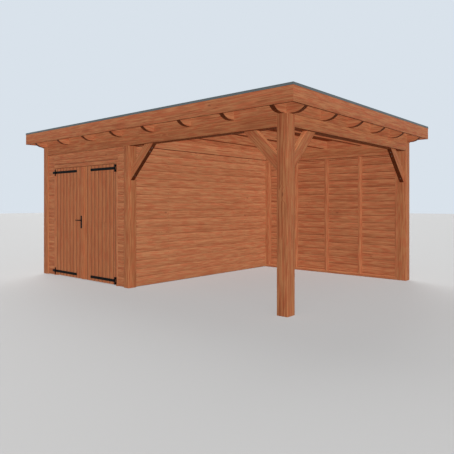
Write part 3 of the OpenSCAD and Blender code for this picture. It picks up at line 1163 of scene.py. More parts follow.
@dataclass
class Eaves(SubAssembly):
    """Rafters, lookouts, blocking, fascia and roof boards."""

    edge: float = 0.004
    tail_radius: float = 0.200
    tail_rise: float = 0.065
    tail_steps: int = 8
    deck_pitch: float = 0.140

    def build(self) -> None:
        """Makes the eave timbers and the deck."""
        self.build_rafters()
        self.build_lookouts()
        self.timbers("eave_blocking", self.edge / 2, Finish.ROOF)
        self.build_fascia()
        self.build_deck()

    def tail(self, reach: float, bottom: float) -> Array:
        """Underside of a tail: points R sin a, R (1 - cos a) of an arc that ends at the reach.

        Args:
            reach: Where the tail ends.
            bottom: Height at which the arc starts.

        Returns:
            Rows of place and height.
        """
        radius, lift = self.tail_radius, self.tail_radius - self.tail_rise
        run = math.sqrt(radius**2 - lift**2)
        angle = np.linspace(0, math.asin(run / radius), self.tail_steps + 1)
        return np.stack([reach - run + radius * np.sin(angle), bottom + radius * (1 - np.cos(angle))], axis=1)

    def tailed(self, box: Box, outline: Array, side: Way, grain: Way) -> Skin:
        """A timber with rounded tails: its outline, along side and up, carried over its width and sawn."""
        skin = through(box, rounded(outline, self.edge, 2), side, Way.UP, self.edge)
        return self.mill.saw(skin, grain.vector, Heart.BOXED)

    def build_rafters(self) -> None:
        """Makes the rafters, each with two tails."""
        rafters = []
        for box in self.frame.solids("rafters"):
            (front, back), (bottom, top) = box.reach(Way.BACK), box.reach(Way.UP)
            right, left = self.tail(back, bottom), self.tail(-front, bottom)[::-1] * [-1, 1]
            outline = np.concatenate([right, [[back, top], [front, top]], left])
            rafters.append(self.tailed(box, outline, Way.BACK, Way.BACK))
        self.add("rafters_timber", joined(rafters), Finish.ROOF, ["rafters"])

    def build_lookouts(self) -> None:
        """Makes the lookouts, each with one tail."""
        lookouts = []
        for box in self.frame.solids("lookouts"):
            out = Way.RIGHT if box.middle()[0] > 0 else Way.LEFT
            (near, far), (bottom, top) = box.reach(out), box.reach(Way.UP)
            outline = np.concatenate([[[near, bottom]], self.tail(far, bottom), [[far, top], [near, top]]])
            lookouts.append(self.tailed(box, outline, out, Way.RIGHT))
        self.add("lookouts_timber", joined(lookouts), Finish.ROOF, ["lookouts"])

    def build_fascia(self) -> None:
        """Makes the four mitred fascia boards."""
        for face in SIDES:
            node = f"{face.name.lower()}_fascia"
            box = self.frame.box(node)
            profile = rounded(rectangle(box.reach(face), box.reach(Way.UP)), self.edge)
            board = mitred(profile, face, box.reach(face.run)[1])
            board = self.mill.saw(board, face.run.vector, Heart.FLAT)
            self.add(node + "_timber", board, Finish.ROOF, [node])

    def build_deck(self) -> None:
        """Makes the roof boards, which show their V joints from below."""
        boarding = Boarding(self.deck_pitch)
        box = self.frame.box("roof_deck")
        edges = boarding.courses(box.reach(Way.BACK), box.reach(Way.BACK)[0])
        boards = boarding.lay(box, Way.BACK, Way.DOWN, edges, self.mill)
        self.add("roof_boards", boards, Finish.ROOF, ["roof_deck"])


@dataclass
class RoofEdge(SubAssembly):
    """Roof covering and metal edge trim."""

    sheet: float = 0.004
    drip: float = 0.0015
    drip_h: float = 0.007
    drip_slope: float = 0.0028
    bend_round: float = 0.0008
    kerb_w: float = 0.045
    kerb_round: float = 0.004
    kerb_clear: float = 0.0005
    cove_w: float = 0.055
    cove_lines: int = 8
    covering_t: float = 0.008
    sheet_w: float = 1.02
    sheet_shift: float = 0.17
    lap_w: float = 0.06
    lap_t: float = 0.0025
    lap_rise: float = 0.004
    lap_fade: float = 0.03
    field_step: float = 0.07
    ponding: float = 0.0015

    def build(self) -> None:
        """Makes the trim and the covering."""
        for face in SIDES:
            self.build_trim(face)
        self.build_covering()

    def build_trim(self, face: Way) -> None:
        """Makes one side of the trim: a flange, a rounded bend and a leg with a drip lip.

        Args:
            face: Direction in which the side faces.
        """
        node = f"{face.name.lower()}_trim"
        box = self.frame.box(node)
        (inner, outer), (bottom, top) = box.reach(face), box.reach(Way.UP)
        leg, t = outer - self.drip, self.sheet - self.drip
        lip_top = bottom + self.drip_h
        lip = [[leg - t, bottom], [outer, bottom], [outer, lip_top], [leg, lip_top + self.drip_slope]]
        flange = [[leg, top], [inner, top], [inner, top - t], [leg - t, top - t]]
        profile = rounded(np.array(lip + flange), self.bend_round, 2)
        self.add(node + "_metal", mitred(profile, face, box.reach(face.run)[1]), Finish.TRIM, [node])

    def stations(self, half: float, laps: Array) -> Array:
        """Grid lines that stand close at the kerb, the cove and the laps, and wide in the field.

        Args:
            half: Half of the covering's width; the lines run from -half to half.
            laps: Where each lap starts.

        Returns:
            The lines in order.
        """
        cove = self.kerb_w + np.linspace(0, self.cove_w, self.cove_lines)
        kerb = np.concatenate([[0, self.kerb_w - self.kerb_round], cove])
        near = np.concatenate([half - kerb, kerb - half])
        field_half = half - kerb[-1]
        wide = np.linspace(-field_half, field_half, int(2 * field_half / self.field_step))
        steps = (laps[:, None] + [-self.lap_rise, 0.0, self.lap_w, self.lap_w + self.lap_fade]).ravel()
        return np.unique(np.round(np.concatenate([near, wide, steps[np.abs(steps) < field_half]]), 4))

    def build_covering(self) -> None:
        """Makes the covering as a height field that turns up over the kerb.

        With d the distance from the nearest edge, the height falls smoothly from the kerb's top to the
        field over the cove, plus a low step at each lap of two sheets and slow hollows, which are a sum of
        waves over the roof.
        """
        box = self.frame.box("roof_covering")
        half, (bottom, top) = box.high[:2], box.reach(Way.UP)
        laps = np.arange(-2, 3) * self.sheet_w + self.sheet_shift
        x, y = self.stations(half[0], laps), self.stations(half[1], np.zeros(0))
        gx, gy = np.meshgrid(x, y, indexing="ij")
        d = np.minimum(half[0] - np.abs(gx), half[1] - np.abs(gy))
        fall = np.clip((d - self.kerb_w) / self.cove_w, 0, 1)
        fall = fall * fall * (3 - 2 * fall)
        past = gx[..., None] - laps
        rise = np.clip(past / self.lap_rise + 1, 0, 1)
        step = rise * np.clip((self.lap_w + self.lap_fade - past) / self.lap_fade, 0, 1)
        hollow = np.sin(2.1 * gx + 0.6) * np.cos(2.7 * gy - 0.4) + 0.6 * np.sin(4.3 * gx - 1.7 * gy)
        field_z = bottom + self.covering_t + self.lap_t * step.max(axis=-1) + self.ponding * hollow
        height = top - self.kerb_clear + (field_z - top) * fall
        self.add("roof_sheet", height_field(gx, gy, height, bottom), Finish.SHEET, ["roof_covering"])


def height_field(gx: Array, gy: Array, height: Array, bottom: float) -> Skin:
    """A closed slab whose top is a grid of heights and whose underside is flat.

    Args:
        gx: First coordinate of the grid.
        gy: Second coordinate of the grid.
        height: Height at each grid point.
        bottom: Height of the underside.

    Returns:
        The slab: quads over the grid, a wall round its rim and one face below.
    """
    rows, columns = gx.shape
    index = np.arange(rows * columns).reshape(rows, columns)
    cells = [index[:-1, :-1], index[1:, :-1], index[1:, 1:], index[:-1, 1:]]
    top = np.stack(cells, axis=-1).reshape(-1, 4)
    rim = np.concatenate([index[:-1, 0], index[-1, :-1], index[:0:-1, -1], index[0, :0:-1]])
    low = rows * columns + np.arange(len(rim))
    wall = np.stack([low, np.roll(low, -1), np.roll(rim, -1), rim], axis=1)
    grid = np.stack([gx, gy, height], axis=-1).reshape(-1, 3)
    foot = grid[rim] * [1, 1, 0] + [0, 0, bottom]
    corners = np.concatenate([top.ravel(), wall.ravel(), low[::-1]])
    sizes = np.concatenate([np.full(len(top) + len(wall), 4), [len(low)]])
    return Skin(np.concatenate([grid, foot]), corners, sizes)


@dataclass(frozen=True)
class WallFace:
    """How a wall is boarded: its front, the height of its first joint, its joints and its finish."""

    front: Way
    start: float = 0.018
    joint: float = 0.0036
    # Darkening of the joints: dirt, and painted shade in the grooves.
    stain: float = 0.1
    finish: Finish = Finish.BOARD


BESIDE_DOORS = WallFace(Way.FRONT, joint=0.0022, stain=0.0)
WALL_FACES = {
    "front_wall_sides": BESIDE_DOORS,
    "front_wall_head": BESIDE_DOORS,
    "left_wall": WallFace(Way.LEFT),
    "back_wall": WallFace(Way.BACK, start=0.048, stain=0.32),
    "partition_wall": WallFace(Way.RIGHT, finish=Finish.SHELTERED),
}


@dataclass
class Walls(SubAssembly):
    """Wall boards on their studs and rails."""

    pitch: float = 0.1287
    variety: float = 0.3
    edge: float = 0.002
    screw: Pair = (0.0042, 0.0012)
    screw_sides: int = 8
    screw_inset: float = 0.032
    screwed_w: float = 0.08
    touch: float = 0.003

    def build(self) -> None:
        """Makes the boards of each wall, with their screws, and the wall frames."""
        screws = []
        for node, wall in WALL_FACES.items():
            boarding = Boarding(self.pitch, chamfer=wall.joint, stain=wall.stain)
            fields = []
            for box in self.frame.solids(node):
                edges = boarding.courses(box.reach(Way.UP), wall.start)
                fields.append(boarding.lay(box, Way.UP, wall.front, edges, self.mill))
                screws.append(self.wall_screws(box, wall.front, edges))
            self.add(node + "_boards", joined(fields), wall.finish, [node])
        self.add("wall_screws", joined(screws), Finish.SCREW)
        self.timbers("wall_studs", self.edge, Finish.BOARD)
        self.timbers("wall_rails", self.edge, Finish.BOARD)

    def wall_screws(self, box: Box, face: Way, edges: Array) -> Skin:
        """Two screws per board at each stud behind a field of boards, or at its ends where it has none.

        Args:
            box: The field of boards.
            face: Direction of its front.
            edges: Edges of its courses.

        Returns:
            The screw heads.
        """
        along, (left, right), (back, front) = face.run.vector, box.reach(face.run), box.reach(face)
        studs = self.frame.solids("wall_studs")
        studs = [stud for stud in studs if abs(stud.reach(face)[1] - back) < self.touch]
        lines = [float(along @ stud.middle()) for stud in studs]
        lines = [line for line in lines if left < line < right]
        if len(lines) < 2:
            lines += [left + self.screw_inset, right - self.screw_inset]
        wide = np.diff(edges) > self.screwed_w
        heights = np.concatenate([edges[:-1][wide] + self.screw_inset, edges[1:][wide] - self.screw_inset])
        grid = np.stack(np.meshgrid(np.array(lines), heights), axis=-1).reshape(-1, 2)
        places = grid[:, :1] * along + grid[:, 1:] * Way.UP.vector + front * face.vector
        return turned(screw_profile(*self.screw), places, face.vector, self.screw_sides)


@dataclass
class Doorway(SubAssembly):
    """Jambs, head and stops of the doorway."""

    edge: float = 0.003
    head_edge: float = 0.006
    # Strength of the shadow line painted along the upper edge of the door head.
    head_stain: float = 0.9

    def build(self) -> None:
        """Makes the door frame, with a shadow line painted along the upper edge of its head."""
        self.timbers("door_jambs", self.edge, Finish.BOARD)
        self.timbers("door_head", self.head_edge, Finish.BOARD, stain=self.head_stain, shade_and_dirt_marked=(Way.UP,))
        self.timbers("door_stops", self.edge / 2, Finish.BOARD)


def rolled(seat: Pair, pin: Array, radius: float, curl: float, counts: tuple[int, int]) -> Array:
    """Plan of a flat bar that steps out from its seat to a pin and curls round it.

    With s from 0 to 1, X runs evenly from the seat to the pin while Y follows s^2 (3 - 2s) up to the back of
    the eye. The curl is an arc about the pin, starting at its back and leading away from the seat.

    Args:
        seat: X and Y where the step starts.
        pin: Point on the pin's axis.
        radius: Distance of the bar's middle from that axis.
        curl: Angle of the curl, in degrees.
        counts: Points of the step and of the curl.

    Returns:
        Rows of X and Y.
    """
    step = np.linspace(0, 1, counts[0])
    angle = np.radians(np.linspace(0, curl, counts[1]))[1:]
    run, rise = pin[0] - seat[0], pin[1] + radius - seat[1]
    x = np.concatenate([seat[0] + run * step, pin[0] + np.sign(run) * radius * np.sin(angle)])
    y = np.concatenate([seat[1] + rise * step**2 * (3 - 2 * step), pin[1] + radius * np.cos(angle)])
    return np.stack([x, y], axis=1)


def flat_bar(plan: Array, middle: float, thickness: float, height: float, trim: Array) -> Skin:
    """A flat section, standing on edge, carried along a plan.

    Args:
        plan: Rows of X and Y.
        middle: Height of the bar's middle.
        thickness: Its thickness.
        height: Its height.
        trim: What is taken off its upper and lower edge at each point of the plan.

    Returns:
        The closed skin.
    """
    path = np.insert(plan, 2, middle, axis=1)
    ahead = unit(np.gradient(path, axis=0))
    section = rectangle((-thickness / 2, thickness / 2), (-height / 2, height / 2))
    section = rounded(section, PLATE_EDGE, 2)
    sections = np.repeat(section[None], len(path), axis=0)
    sections[..., 1] -= np.sign(section[:, 1]) * trim[:, None]
    return carry(path, np.cross(Way.UP.vector, ahead), Way.UP.vector, sections)


@dataclass
class DoorLeaf(SubAssembly):
    """One leaf: boards, cover strip, ledges, strap hinges and screws."""

    hand: Way = Way.LEFT
    first_w: float = 0.112
    pitch: float = 0.1045
    lap: float = 0.009
    joint: float = 0.009
    # Darkening of the V joints: dirt, and painted shade in the grooves.
    joint_stain: float = 0.8
    variety: float = 0.15
    strip_w: float = 0.032
    strip_t: float = 0.010
    edge: float = 0.002
    strap_t: float = 0.005
    strap_tip: float = 0.014
    tip_lines: int = 7
    eye_r: float = 0.00855
    curl: float = 285.0
    curl_lines: tuple[int, int] = (7, 28)
    joggle: float = 0.016
    bolt: Pair = (0.0095, 0.0045)
    bolt_sides: int = 12
    bolts_at: tuple[float, ...] = (0.05, 0.33, 0.62, 0.91)
    screw: Pair = (0.0042, 0.0012)
    screw_sides: int = 8
    screw_spread: float = 0.3
    screw_rise: float = 0.034
    screw_margin: float = 0.01

    @property
    def name(self) -> str:
        """The leaf's body, which also starts its nodes' names."""
        return f"{self.hand.name.lower()}_door"

    def build(self) -> None:
        """Makes the leaf's pieces."""
        leaf = self.frame.box(f"{self.name}_boards")
        front = leaf.low[1] + self.strip_t
        self.build_boards(leaf, front)
        self.timbers(f"{self.name}_ledges", 2 * self.edge, Finish.DOOR, body=self.name)
        self.build_straps(front)

    def build_boards(self, leaf: Box, front: float) -> None:
        """Makes the boards, the first one wider, and the cover strip on the meeting edge.

        Args:
            leaf: Box of boards and strip.
            front: Place of the boards' face along Y.
        """
        boarding = Boarding(self.pitch, lap=self.lap, chamfer=self.joint, stain=self.joint_stain)
        panel = Box(np.array([leaf.low[0], front, leaf.low[2]]), leaf.high)
        width = leaf.high[0] - leaf.low[0]
        steps = np.concatenate([[0], np.arange(self.first_w, width, self.pitch), [width]])
        left = self.hand is Way.LEFT
        edges = (leaf.high[0] - steps)[::-1] if left else leaf.low[0] + steps
        boards = boarding.lay(panel, Way.RIGHT, Way.FRONT, edges, self.mill)
        start = leaf.high[0] - self.strip_w if left else leaf.low[0]
        low = np.array([start, leaf.low[1], leaf.low[2]])
        high = np.array([start + self.strip_w, front, leaf.high[2]])
        strip = self.mill.saw(bar(Box(low, high), Way.UP, self.edge), Way.UP.vector, Heart.FLAT)
        skin, node = joined([boards, strip]), f"{self.name}_boards"
        self.add(f"{self.name}_leaf", skin, Finish.DOOR, [node], self.name)
        self.build_screws(edges, front)

    def build_screws(self, edges: Array, front: float) -> None:
        """Makes two screws per board at each ledge, except where a strap covers them.

        Args:
            edges: Edges of the boards along X.
            front: Place of the boards' face along Y.
        """
        middles, half = (edges[:-1] + edges[1:]) / 2, np.diff(edges) * self.screw_spread
        columns = np.concatenate([middles - half, middles + half])
        ledges = np.array([box.middle()[2] for box in self.frame.solids(f"{self.name}_ledges")])
        left, right = self.frame.box(f"{self.name}_ledges").reach(Way.RIGHT)
        columns = columns[(columns > left + self.screw_margin) & (columns < right - self.screw_margin)]
        rows = (ledges[:, None] + [-self.screw_rise, self.screw_rise]).ravel()
        gx, gz = np.meshgrid(columns, rows)
        places = np.stack([gx.ravel(), np.full(gx.size, front), gz.ravel()], axis=1)
        for box in self.frame.solids(f"{self.name}_straps"):
            clear = np.abs(places - box.middle()) > (box.high - box.low) / 2 + 2 * self.screw[0]
            places = places[clear[:, 0] | clear[:, 2]]
        heads = turned(screw_profile(*self.screw), places, Way.FRONT.vector, self.screw_sides)
        self.add(f"{self.name}_screws", heads, Finish.SCREW, body=self.name)

    def build_straps(self, front: float) -> None:
        """Makes the straps, each rolled round its pin, with their bolts.

        Args:
            front: Place of the boards' face along Y.
        """
        node = f"{self.name}_straps"
        axis = self.frame.axis(f"{self.name}_hinge")
        skins = []
        for box in self.frame.solids(node):
            low, high = box.reach(Way.UP)
            tip = box.low[0] if self.hand is Way.RIGHT else 2 * axis[0] - box.high[0]
            strap = self.strap(axis, tip, front, (low + high) / 2, high - low)
            bolts = self.bolts(axis[0], tip, front, (low + high) / 2)
            skin = joined([strap, bolts])
            skins.append(skin if self.hand is Way.RIGHT else skin.mirrored(0, axis[0]))
        self.add(node + "_forged", joined(skins), Finish.BLACK, [node], self.name)

    def strap(self, axis: Array, tip: float, front: float, middle: float, height: float) -> Skin:
        """A right-hand strap: a flat bar from its tip to the pin and round it.

        Near the tip the half height shrinks along a quarter circle.

        Args:
            axis: Point on the pin's axis.
            tip: Place of the tip along X.
            front: Place of the door's face along Y.
            middle: Height of the strap's middle.
            height: Height of the strap.

        Returns:
            The closed skin.
        """
        turn = np.radians(np.linspace(0, 90, self.tip_lines))
        flat_y = front - self.strap_t / 2
        lead = np.stack([tip + self.strap_tip * (1 - np.cos(turn)), np.full(len(turn), flat_y)], axis=1)
        eye = rolled((axis[0] - self.joggle, flat_y), axis, self.eye_r, self.curl, self.curl_lines)
        trim = np.concatenate([self.strap_tip * (1 - np.sin(turn)), np.zeros(len(eye))])
        return flat_bar(np.concatenate([lead, eye]), middle, self.strap_t, height, trim)

    def bolts(self, pin_x: float, tip: float, front: float, middle: float) -> Skin:
        """Domed bolts along a strap.

        Args:
            pin_x: Place of the pin along X.
            tip: Place of the strap's tip along X.
            front: Place of the door's face along Y.
            middle: Height of the strap's middle.

        Returns:
            The bolt heads.
        """
        x = tip + (pin_x - tip) * np.array(self.bolts_at)
        places = np.stack([x, np.full(len(x), front - self.strap_t), np.full(len(x), middle)], axis=1)
        dome = np.array([[1.0, -0.2], [1.0, 0.1], [0.92, 0.45], [0.66, 0.8], [0.3, 0.98], [0.05, 1.0]])
        return turned(dome * self.bolt, places, Way.FRONT.vector, self.bolt_sides)


@dataclass
class Fittings(SubAssembly):
    """Hinge plates on the jambs, handle plates and lever."""

    plate_t: float = 0.005
    plate_w: float = 0.012
    plate_round: float = 0.003
    plate_screws: float = 0.8
    tail_h: float = 0.044
    tail_round: float = 0.014
    tail_screws_at: Pair = (0.3, 0.75)
    pin_r: float = 0.006
    pin_sides: int = 20
    eye_r: float = 0.00855
    eye_out: float = 0.01405
    curl: float = 275.0
    curl_lines: tuple[int, int] = (6, 26)
    knuckle_gap: float = 0.023
    screw: Pair = (0.0045, 0.0012)
    screw_sides: int = 10
    handle_t: float = 0.006
    handle_ease: float = 0.0014
    handle_clear: float = 0.0002
    handle_rays: Triple = (-178.0, 182.0, 5.0)
    handle_screw_inset: float = 0.014
    keyhole_drop: float = 0.072
    keyhole_r: float = 0.0042
    keyhole_slot: Pair = (0.0019, 0.012)
    blank: tuple[Pair, ...] = ((0.009, 0.0), (0.009, 0.0012), (0.004, 0.0013))
    blank_sides: int = 12
    blank_drop: float = 0.003
    neck_r: float = 0.0095
    grip_r: Pair = (0.0088, 0.0078)
    grip_bend: float = 0.016
    grip_clear: float = 0.0015
    grip_sides: int = 20
    bend_lines: int = 9
    bar_lines: int = 6
    cap_lines: int = 7
    rose: Pair = (0.011, 0.004)
    rose_gap: float = 0.0006
    rose_at: tuple[float, ...] = (0.0, 0.6, 1.0, 1.6)
    rose_taper: float = 0.95

    def build(self) -> None:
        """Makes the fittings."""
        self.build_hinge_plates()
        self.build_handle_plates()
        self.build_lever()

    def build_hinge_plates(self) -> None:
        """Makes the plates on both jambs, with knuckles rolled round a pin, and their screws."""
        pins = [self.frame.axis(f"{hand}_door_hinge") for hand in ("left", "right")]
        skins = []
        for box in self.frame.solids("hinge_plates"):
            axis = min(pins, key=lambda pin: abs(pin[0] - box.middle()[0]))
            right = axis is pins[1]
            edge = box.high[0] if right else 2 * axis[0] - box.low[0]
            skin = self.hinge_plate(axis, edge, box.high[1], box.reach(Way.UP))
            skins.append(skin if right else skin.mirrored(0, axis[0]))
        self.add("hinge_plates_forged", joined(skins), Finish.BLACK, ["hinge_plates"])

    def hinge_plate(self, axis: Array, edge: float, wall: float, ends: Pair) -> Skin:
        """A right-hand hinge plate, with a tail where its edge lies further out than the plate is wide.

        Args:
            axis: Point on the pin's axis.
            edge: Outer edge of plate or tail along X.
            wall: Face of the jamb along Y.
            ends: Lower and upper end.

        Returns:
            Plate, two knuckles, pin and screws.
        """
        (low, high), middle = ends, (ends[0] + ends[1]) / 2
        inner = axis[0] + self.eye_out
        outer = inner + self.plate_w
        outline, corner = rectangle((inner, outer), ends), np.full(4, self.plate_round)
        spread = self.plate_screws * (high - low)
        screws = np.array([[inner + outer, low + high - s * spread] for s in (-1, 1)]) / 2
        if edge > outer + self.plate_round:
            tail = rectangle((outer, edge), (middle - self.tail_h / 2, middle + self.tail_h / 2))
            outline = np.concatenate([outline[:2], tail, outline[2:]])
            corner = np.concatenate([corner[:3], np.full(2, self.tail_round), corner[:3]])
            out = outer + (edge - outer) * np.array(self.tail_screws_at)
            row = np.stack([out, np.full(2, middle)], axis=1)
            screws = np.concatenate([screws, row])
        ends = (-wall, self.plate_t - wall)
        plate = extruded(rounded(outline, corner), Way.RIGHT, Way.UP, ends, PLATE_EDGE)
        knuckle_h = (high - low) / 2 - self.knuckle_gap
        heights = middle + np.array([-1, 1]) * (self.knuckle_gap + knuckle_h / 2)
        knuckles = [self.knuckle(axis, inner, wall, height, knuckle_h) for height in heights]
        pin = np.array([[0.5, 0.0], [1.0, 0.003], [1.0, 0.5], [1.0, 0.997], [0.5, 1.0]])
        foot = np.array([[axis[0], axis[1], low]])
        rod = turned(pin * [self.pin_r, high - low], foot, Way.UP.vector, self.pin_sides)
        places = np.insert(screws, 1, wall - self.plate_t, axis=1)
        heads = turned(screw_profile(*self.screw), places, Way.FRONT.vector, self.screw_sides)
        return joined([plate, *knuckles, rod, heads])

    def knuckle(self, axis: Array, inner: float, wall: float, middle: float, height: float) -> Skin:
        """A knuckle: a flat bar from the plate to the pin and round it.

        Args:
            axis: Point on the pin's axis.
            inner: Edge of the plate along X.
            wall: Face of the jamb along Y.
            middle: Height of the knuckle's middle.
            height: Height of the knuckle.

        Returns:
            The closed skin.
        """
        plan = rolled((inner, wall - self.plate_t / 2), axis, self.eye_r, self.curl, self.curl_lines)
        return flat_bar(plan, middle, self.plate_t, height, np.zeros(len(plan)))

    def build_handle_plates(self) -> None:
        """Makes the plates on both faces of the left leaf, with two screws and a keyhole each."""
        lever = self.frame.axis("lever_turn")
        skins = []
        for box in self.frame.solids("handle_plates"):
            skin = self.handle_plate(box, lever[2] - self.keyhole_drop, box.high[1])
            outer = box.middle()[1] < lever[1]
            skins.append(skin if outer else skin.mirrored(1, box.middle()[1]))
        self.add("handle_plates_forged", joined(skins), Finish.BLACK, ["handle_plates"], "left_door")

    def handle_plate(self, box: Box, keyhole: float, face: float) -> Skin:
        """A plate that faces the front, with a pierced keyhole.

        Along each ray from the keyhole's middle lie the hole's edge and the plate's edge. A closed band
        runs from hole to edge on the front and back again behind, so the plate has one true hole.

        Args:
            box: Where the plate lies.
            keyhole: Height of the keyhole.
            face: Place of the door's face along Y.

        Returns:
            Plate, a blank behind the keyhole and two screws.
        """
        (left, right), (low, high) = box.reach(Way.RIGHT), box.reach(Way.UP)
        centre, half = (left + right) / 2, (right - left) / 2
        up, down = high - keyhole, keyhole - low
        corner = np.arctan2([up, up, -down, -down], [half, -half, -half, half])
        angle = np.unique(np.concatenate([np.radians(np.arange(*self.handle_rays)), corner]))
        ray = np.stack([np.cos(angle), np.sin(angle)], axis=1)
        tall = np.where(ray[:, 1] > 0, up, down)
        lean = np.maximum(np.abs(ray), 1e-6)
        edge = np.minimum(half / lean[:, 0], tall / lean[:, 1])
        slot_w, slot_h = self.keyhole_slot
        slot = np.maximum(self.keyhole_r, np.minimum(slot_w / lean[:, 0], slot_h))
        hole = np.where(ray[:, 1] < 0, slot, self.keyhole_r)
        t, ease, clear = self.handle_t, self.handle_ease, self.handle_clear
        radii = np.stack([hole, hole, edge - ease, edge, edge], axis=0)
        depth = np.array([clear, t, t, t - ease, clear])
        flat = radii[..., None] * ray
        points = np.empty((*radii.shape, 3))
        points[..., 0] = centre + flat[..., 0]
        points[..., 1] = face - depth[:, None]
        points[..., 2] = keyhole + flat[..., 1]
        behind = np.array([[centre, face, keyhole - self.blank_drop]])
        blank = turned(np.array(self.blank), behind, Way.FRONT.vector, self.blank_sides)
        heights = (low + self.handle_screw_inset, high - self.handle_screw_inset)
        places = np.array([[centre, face - t, height] for height in heights])
        screws = turned(screw_profile(*self.screw), places, Way.FRONT.vector, self.screw_sides)
        return joined([ring_band(points), blank, screws])

    def build_lever(self) -> None:
        """Makes the lever's two grips, one on each face of the door."""
        axis = self.frame.axis("lever_turn")
        box = self.frame.box("door_lever")
        grip = self.grip(axis, box)
        both = joined([grip, grip.mirrored(1, box.middle()[1])])
        self.add("door_lever_forged", both, Finish.BLACK, ["door_lever"], "lever")

    def grip(self, axis: Array, box: Box) -> Skin:
        """The outer grip: straight out, a quarter bend, then a tapered bar with a rounded end.

        Args:
            axis: Point on the lever's axis, on the door's face.
            box: Box of the whole lever, which gives its length and how far it stands out.

        Returns:
            The closed skin.
        """
        bend = self.grip_bend
        out = axis[1] - (box.low[1] + self.neck_r + self.grip_clear)
        length = axis[0] - box.low[0]
        start = self.handle_t + self.rose_gap
        rose_r, rose_t = self.rose
        neck = np.append(start + rose_t * np.array(self.rose_at), out - bend)
        neck_r = np.array([rose_r, rose_r, self.rose_taper * rose_r, self.neck_r, self.neck_r])
        turn = np.radians(np.linspace(0, 90, self.bend_lines))[1:]
        bar_x = np.linspace(bend, length - self.grip_r[1], self.bar_lines)[1:]
        cap = np.radians(np.linspace(0, 85, self.cap_lines))[1:]
        cap_x = bar_x[-1] + self.grip_r[1] * np.sin(cap)
        x = np.concatenate([np.zeros(len(neck)), bend * (1 - np.cos(turn)), bar_x, cap_x])
        y = np.concatenate([neck, out - bend + bend * np.sin(turn), np.full(len(bar_x) + len(cap), out)])
        radius = np.concatenate([
            neck_r,
            np.linspace(self.neck_r, self.grip_r[0], len(turn)),
            np.linspace(*self.grip_r, len(bar_x)),
            self.grip_r[1] * np.cos(cap),
        ])
        path = np.stack([axis[0] - x, axis[1] - y, np.full(len(x), axis[2])], axis=1)
        ahead = unit(np.gradient(path, axis=0))
        angle = np.arange(self.grip_sides) * 2 * math.pi / self.grip_sides
        ring = np.stack([np.cos(angle), np.sin(angle)], axis=1)
        return carry(path, np.cross(Way.UP.vector, ahead), Way.UP.vector, radius[:, None, None] * ring)


def ring_band(points: Array) -> Skin:
    """A closed band over a grid that joins up in both directions, such as a pierced plate.

    Args:
        points: Grid of row, place in the row, coordinate.

    Returns:
        Quads between neighbours, the last row and column joined to the first.
    """
    rows, columns = points.shape[:2]
    index = np.arange(rows * columns).reshape(rows, columns)
    down, right = np.roll(index, -1, axis=0), np.roll(index, -1, axis=1)
    quads = np.stack([index, down, np.roll(down, -1, axis=1), right], axis=-1)
    return Skin(points.reshape(-1, 3), quads.ravel(), np.full(rows * columns, 4))


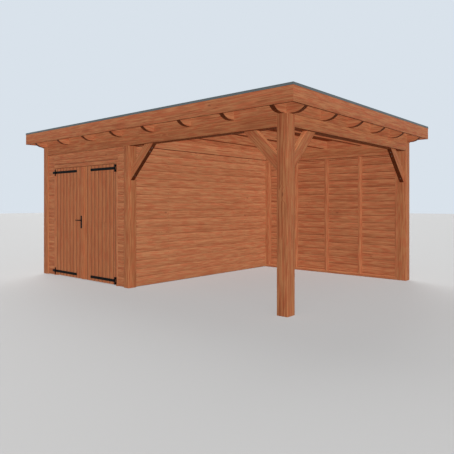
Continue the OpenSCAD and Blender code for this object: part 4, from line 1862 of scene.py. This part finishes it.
@dataclass
class Studio:
    """Floor, soft lights, pale background and camera.

    Each light is given as azimuth, height, strength and spread.
    """

    eye: Triple = (5.8955, -6.5056, 1.295)
    turn: float = 41.14
    lens: float = 39.0
    rise: float = -0.0511
    backdrop: Colour = (0.694, 0.761, 0.831)
    ground: Colour = (0.41, 0.41, 0.41)
    ground_for_light: Colour = (0.085, 0.045, 0.025)
    ambient: float = 0.15
    key: tuple[float, float, float, float] = (40.0, 45.0, 0.25, 50.0)
    fill: tuple[float, float, float, float] = (-130.0, 30.0, 2.3, 60.0)
    wash: tuple[float, float, float, float] = (49.0, 40.0, 4.6, 10.0)
    floor_half: float = 60.0
    floor_roughness: float = 0.9
    floor_gloss: float = 0.1
    sensor: float = 36.0

    def build(self) -> None:
        """Makes the whole studio."""
        self.build_world()
        self.build_floor()
        self.build_lamp("key_light", *self.key)
        self.build_lamp("fill_light", *self.fill)
        self.build_lamp("wash_light", *self.wash).use_shadow = False
        self.build_camera()

    def seen(self, w: Wiring) -> bpy.types.NodeSocket:
        """Tells what the camera sees from what only lights the object.

        Args:
            w: Wiring of the world or material.

        Returns:
            1 for rays from the camera, reflections and glass, 0 for light on the object.
        """
        path = w.node("LightPath")
        mirror = w.math("MAXIMUM", path.outputs["Is Glossy Ray"], path.outputs["Is Transmission Ray"])
        return w.math("MAXIMUM", path.outputs["Is Camera Ray"], mirror)

    def build_world(self) -> None:
        """Makes a pale background that lights the object at its own, lower level."""
        world = bpy.data.worlds.new("studio")
        bpy.context.scene.world = world
        world.use_nodes = True
        w = Wiring(world.node_tree)
        world.node_tree.nodes.clear()
        soft = w.node("Background", {"Color": (1.0, 1.0, 1.0, 1.0), "Strength": self.ambient})
        shown = w.node("Background", {"Color": (*self.backdrop, 1.0), "Strength": 1.0})
        both = w.node("MixShader", {0: self.seen(w), 1: soft.outputs[0], 2: shown.outputs[0]})
        w.node("OutputWorld", {"Surface": both.outputs[0]})

    def build_floor(self) -> None:
        """Makes the floor, pale to the camera and quieter for the light that it throws up."""
        half = self.floor_half
        corners = np.array([[-half, -half, 0], [half, -half, 0], [half, half, 0], [-half, half, 0]])
        floor = mesh_object("floor", Skin(corners, np.arange(4), np.array([4])))
        floor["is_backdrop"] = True
        made, w, surface = new_material("studio_floor")
        shade = w.mixed(self.seen(w), (*self.ground_for_light, 1.0), (*self.ground, 1.0))
        w.tree.links.new(shade, surface.inputs["Base Color"])
        surface.inputs["Roughness"].default_value = self.floor_roughness
        surface.inputs["Specular IOR Level"].default_value = self.floor_gloss
        floor.data.materials.append(made)

    def build_lamp(
        self, name: str, azimuth: float, height: float, strength: float, spread: float
    ) -> bpy.types.Light:
        """Makes a far soft lamp.

        Args:
            name: Name of the lamp.
            azimuth: Where it stands, in degrees from the front towards the right.
            height: Its height above the horizon, in degrees.
            strength: Its strength.
            spread: How wide it looks from the object, in degrees.

        Returns:
            The lamp.
        """
        lamp = bpy.data.lights.new(name, "SUN")
        lamp.energy = strength
        lamp.angle = math.radians(spread)
        made = bpy.data.objects.new(name, lamp)
        made.rotation_euler = (math.radians(90 - height), 0, math.radians(azimuth))
        bpy.context.scene.collection.objects.link(made)
        return lamp

    def build_camera(self) -> None:
        """Makes the camera: level, turned towards the left, with its shift."""
        lens = bpy.data.cameras.new("camera")
        lens.lens, lens.sensor_width, lens.shift_y = self.lens, self.sensor, self.rise
        camera = bpy.data.objects.new("camera", lens)
        camera.location = self.eye
        camera.rotation_euler = (math.radians(90), 0, math.radians(self.turn))
        bpy.context.scene.collection.objects.link(camera)
        bpy.context.scene.camera = camera


def main() -> None:
    """Builds and dresses every sub-assembly, then the studio."""
    logging.basicConfig(level=logging.INFO, format="%(message)s")
    frame = Frame()
    bpy.context.scene.view_settings.view_transform = "Standard"
    assemblies = (
        PostsAndBeams(frame, seed=11),
        Eaves(frame, seed=12),
        RoofEdge(frame, seed=13),
        Walls(frame, seed=14),
        Doorway(frame, seed=15),
        DoorLeaf(frame, seed=16, hand=Way.LEFT),
        DoorLeaf(frame, seed=17, hand=Way.RIGHT),
        Fittings(frame, seed=18),
    )
    for assembly in assemblies:
        assembly.build()
        assembly.dress()
    Studio().build()
    boxes = {"cad": frame.bounds, "visual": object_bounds()}
    boxes = {name: [list(corner) for corner in box] for name, box in boxes.items()}


if __name__ == "__main__":
    main()
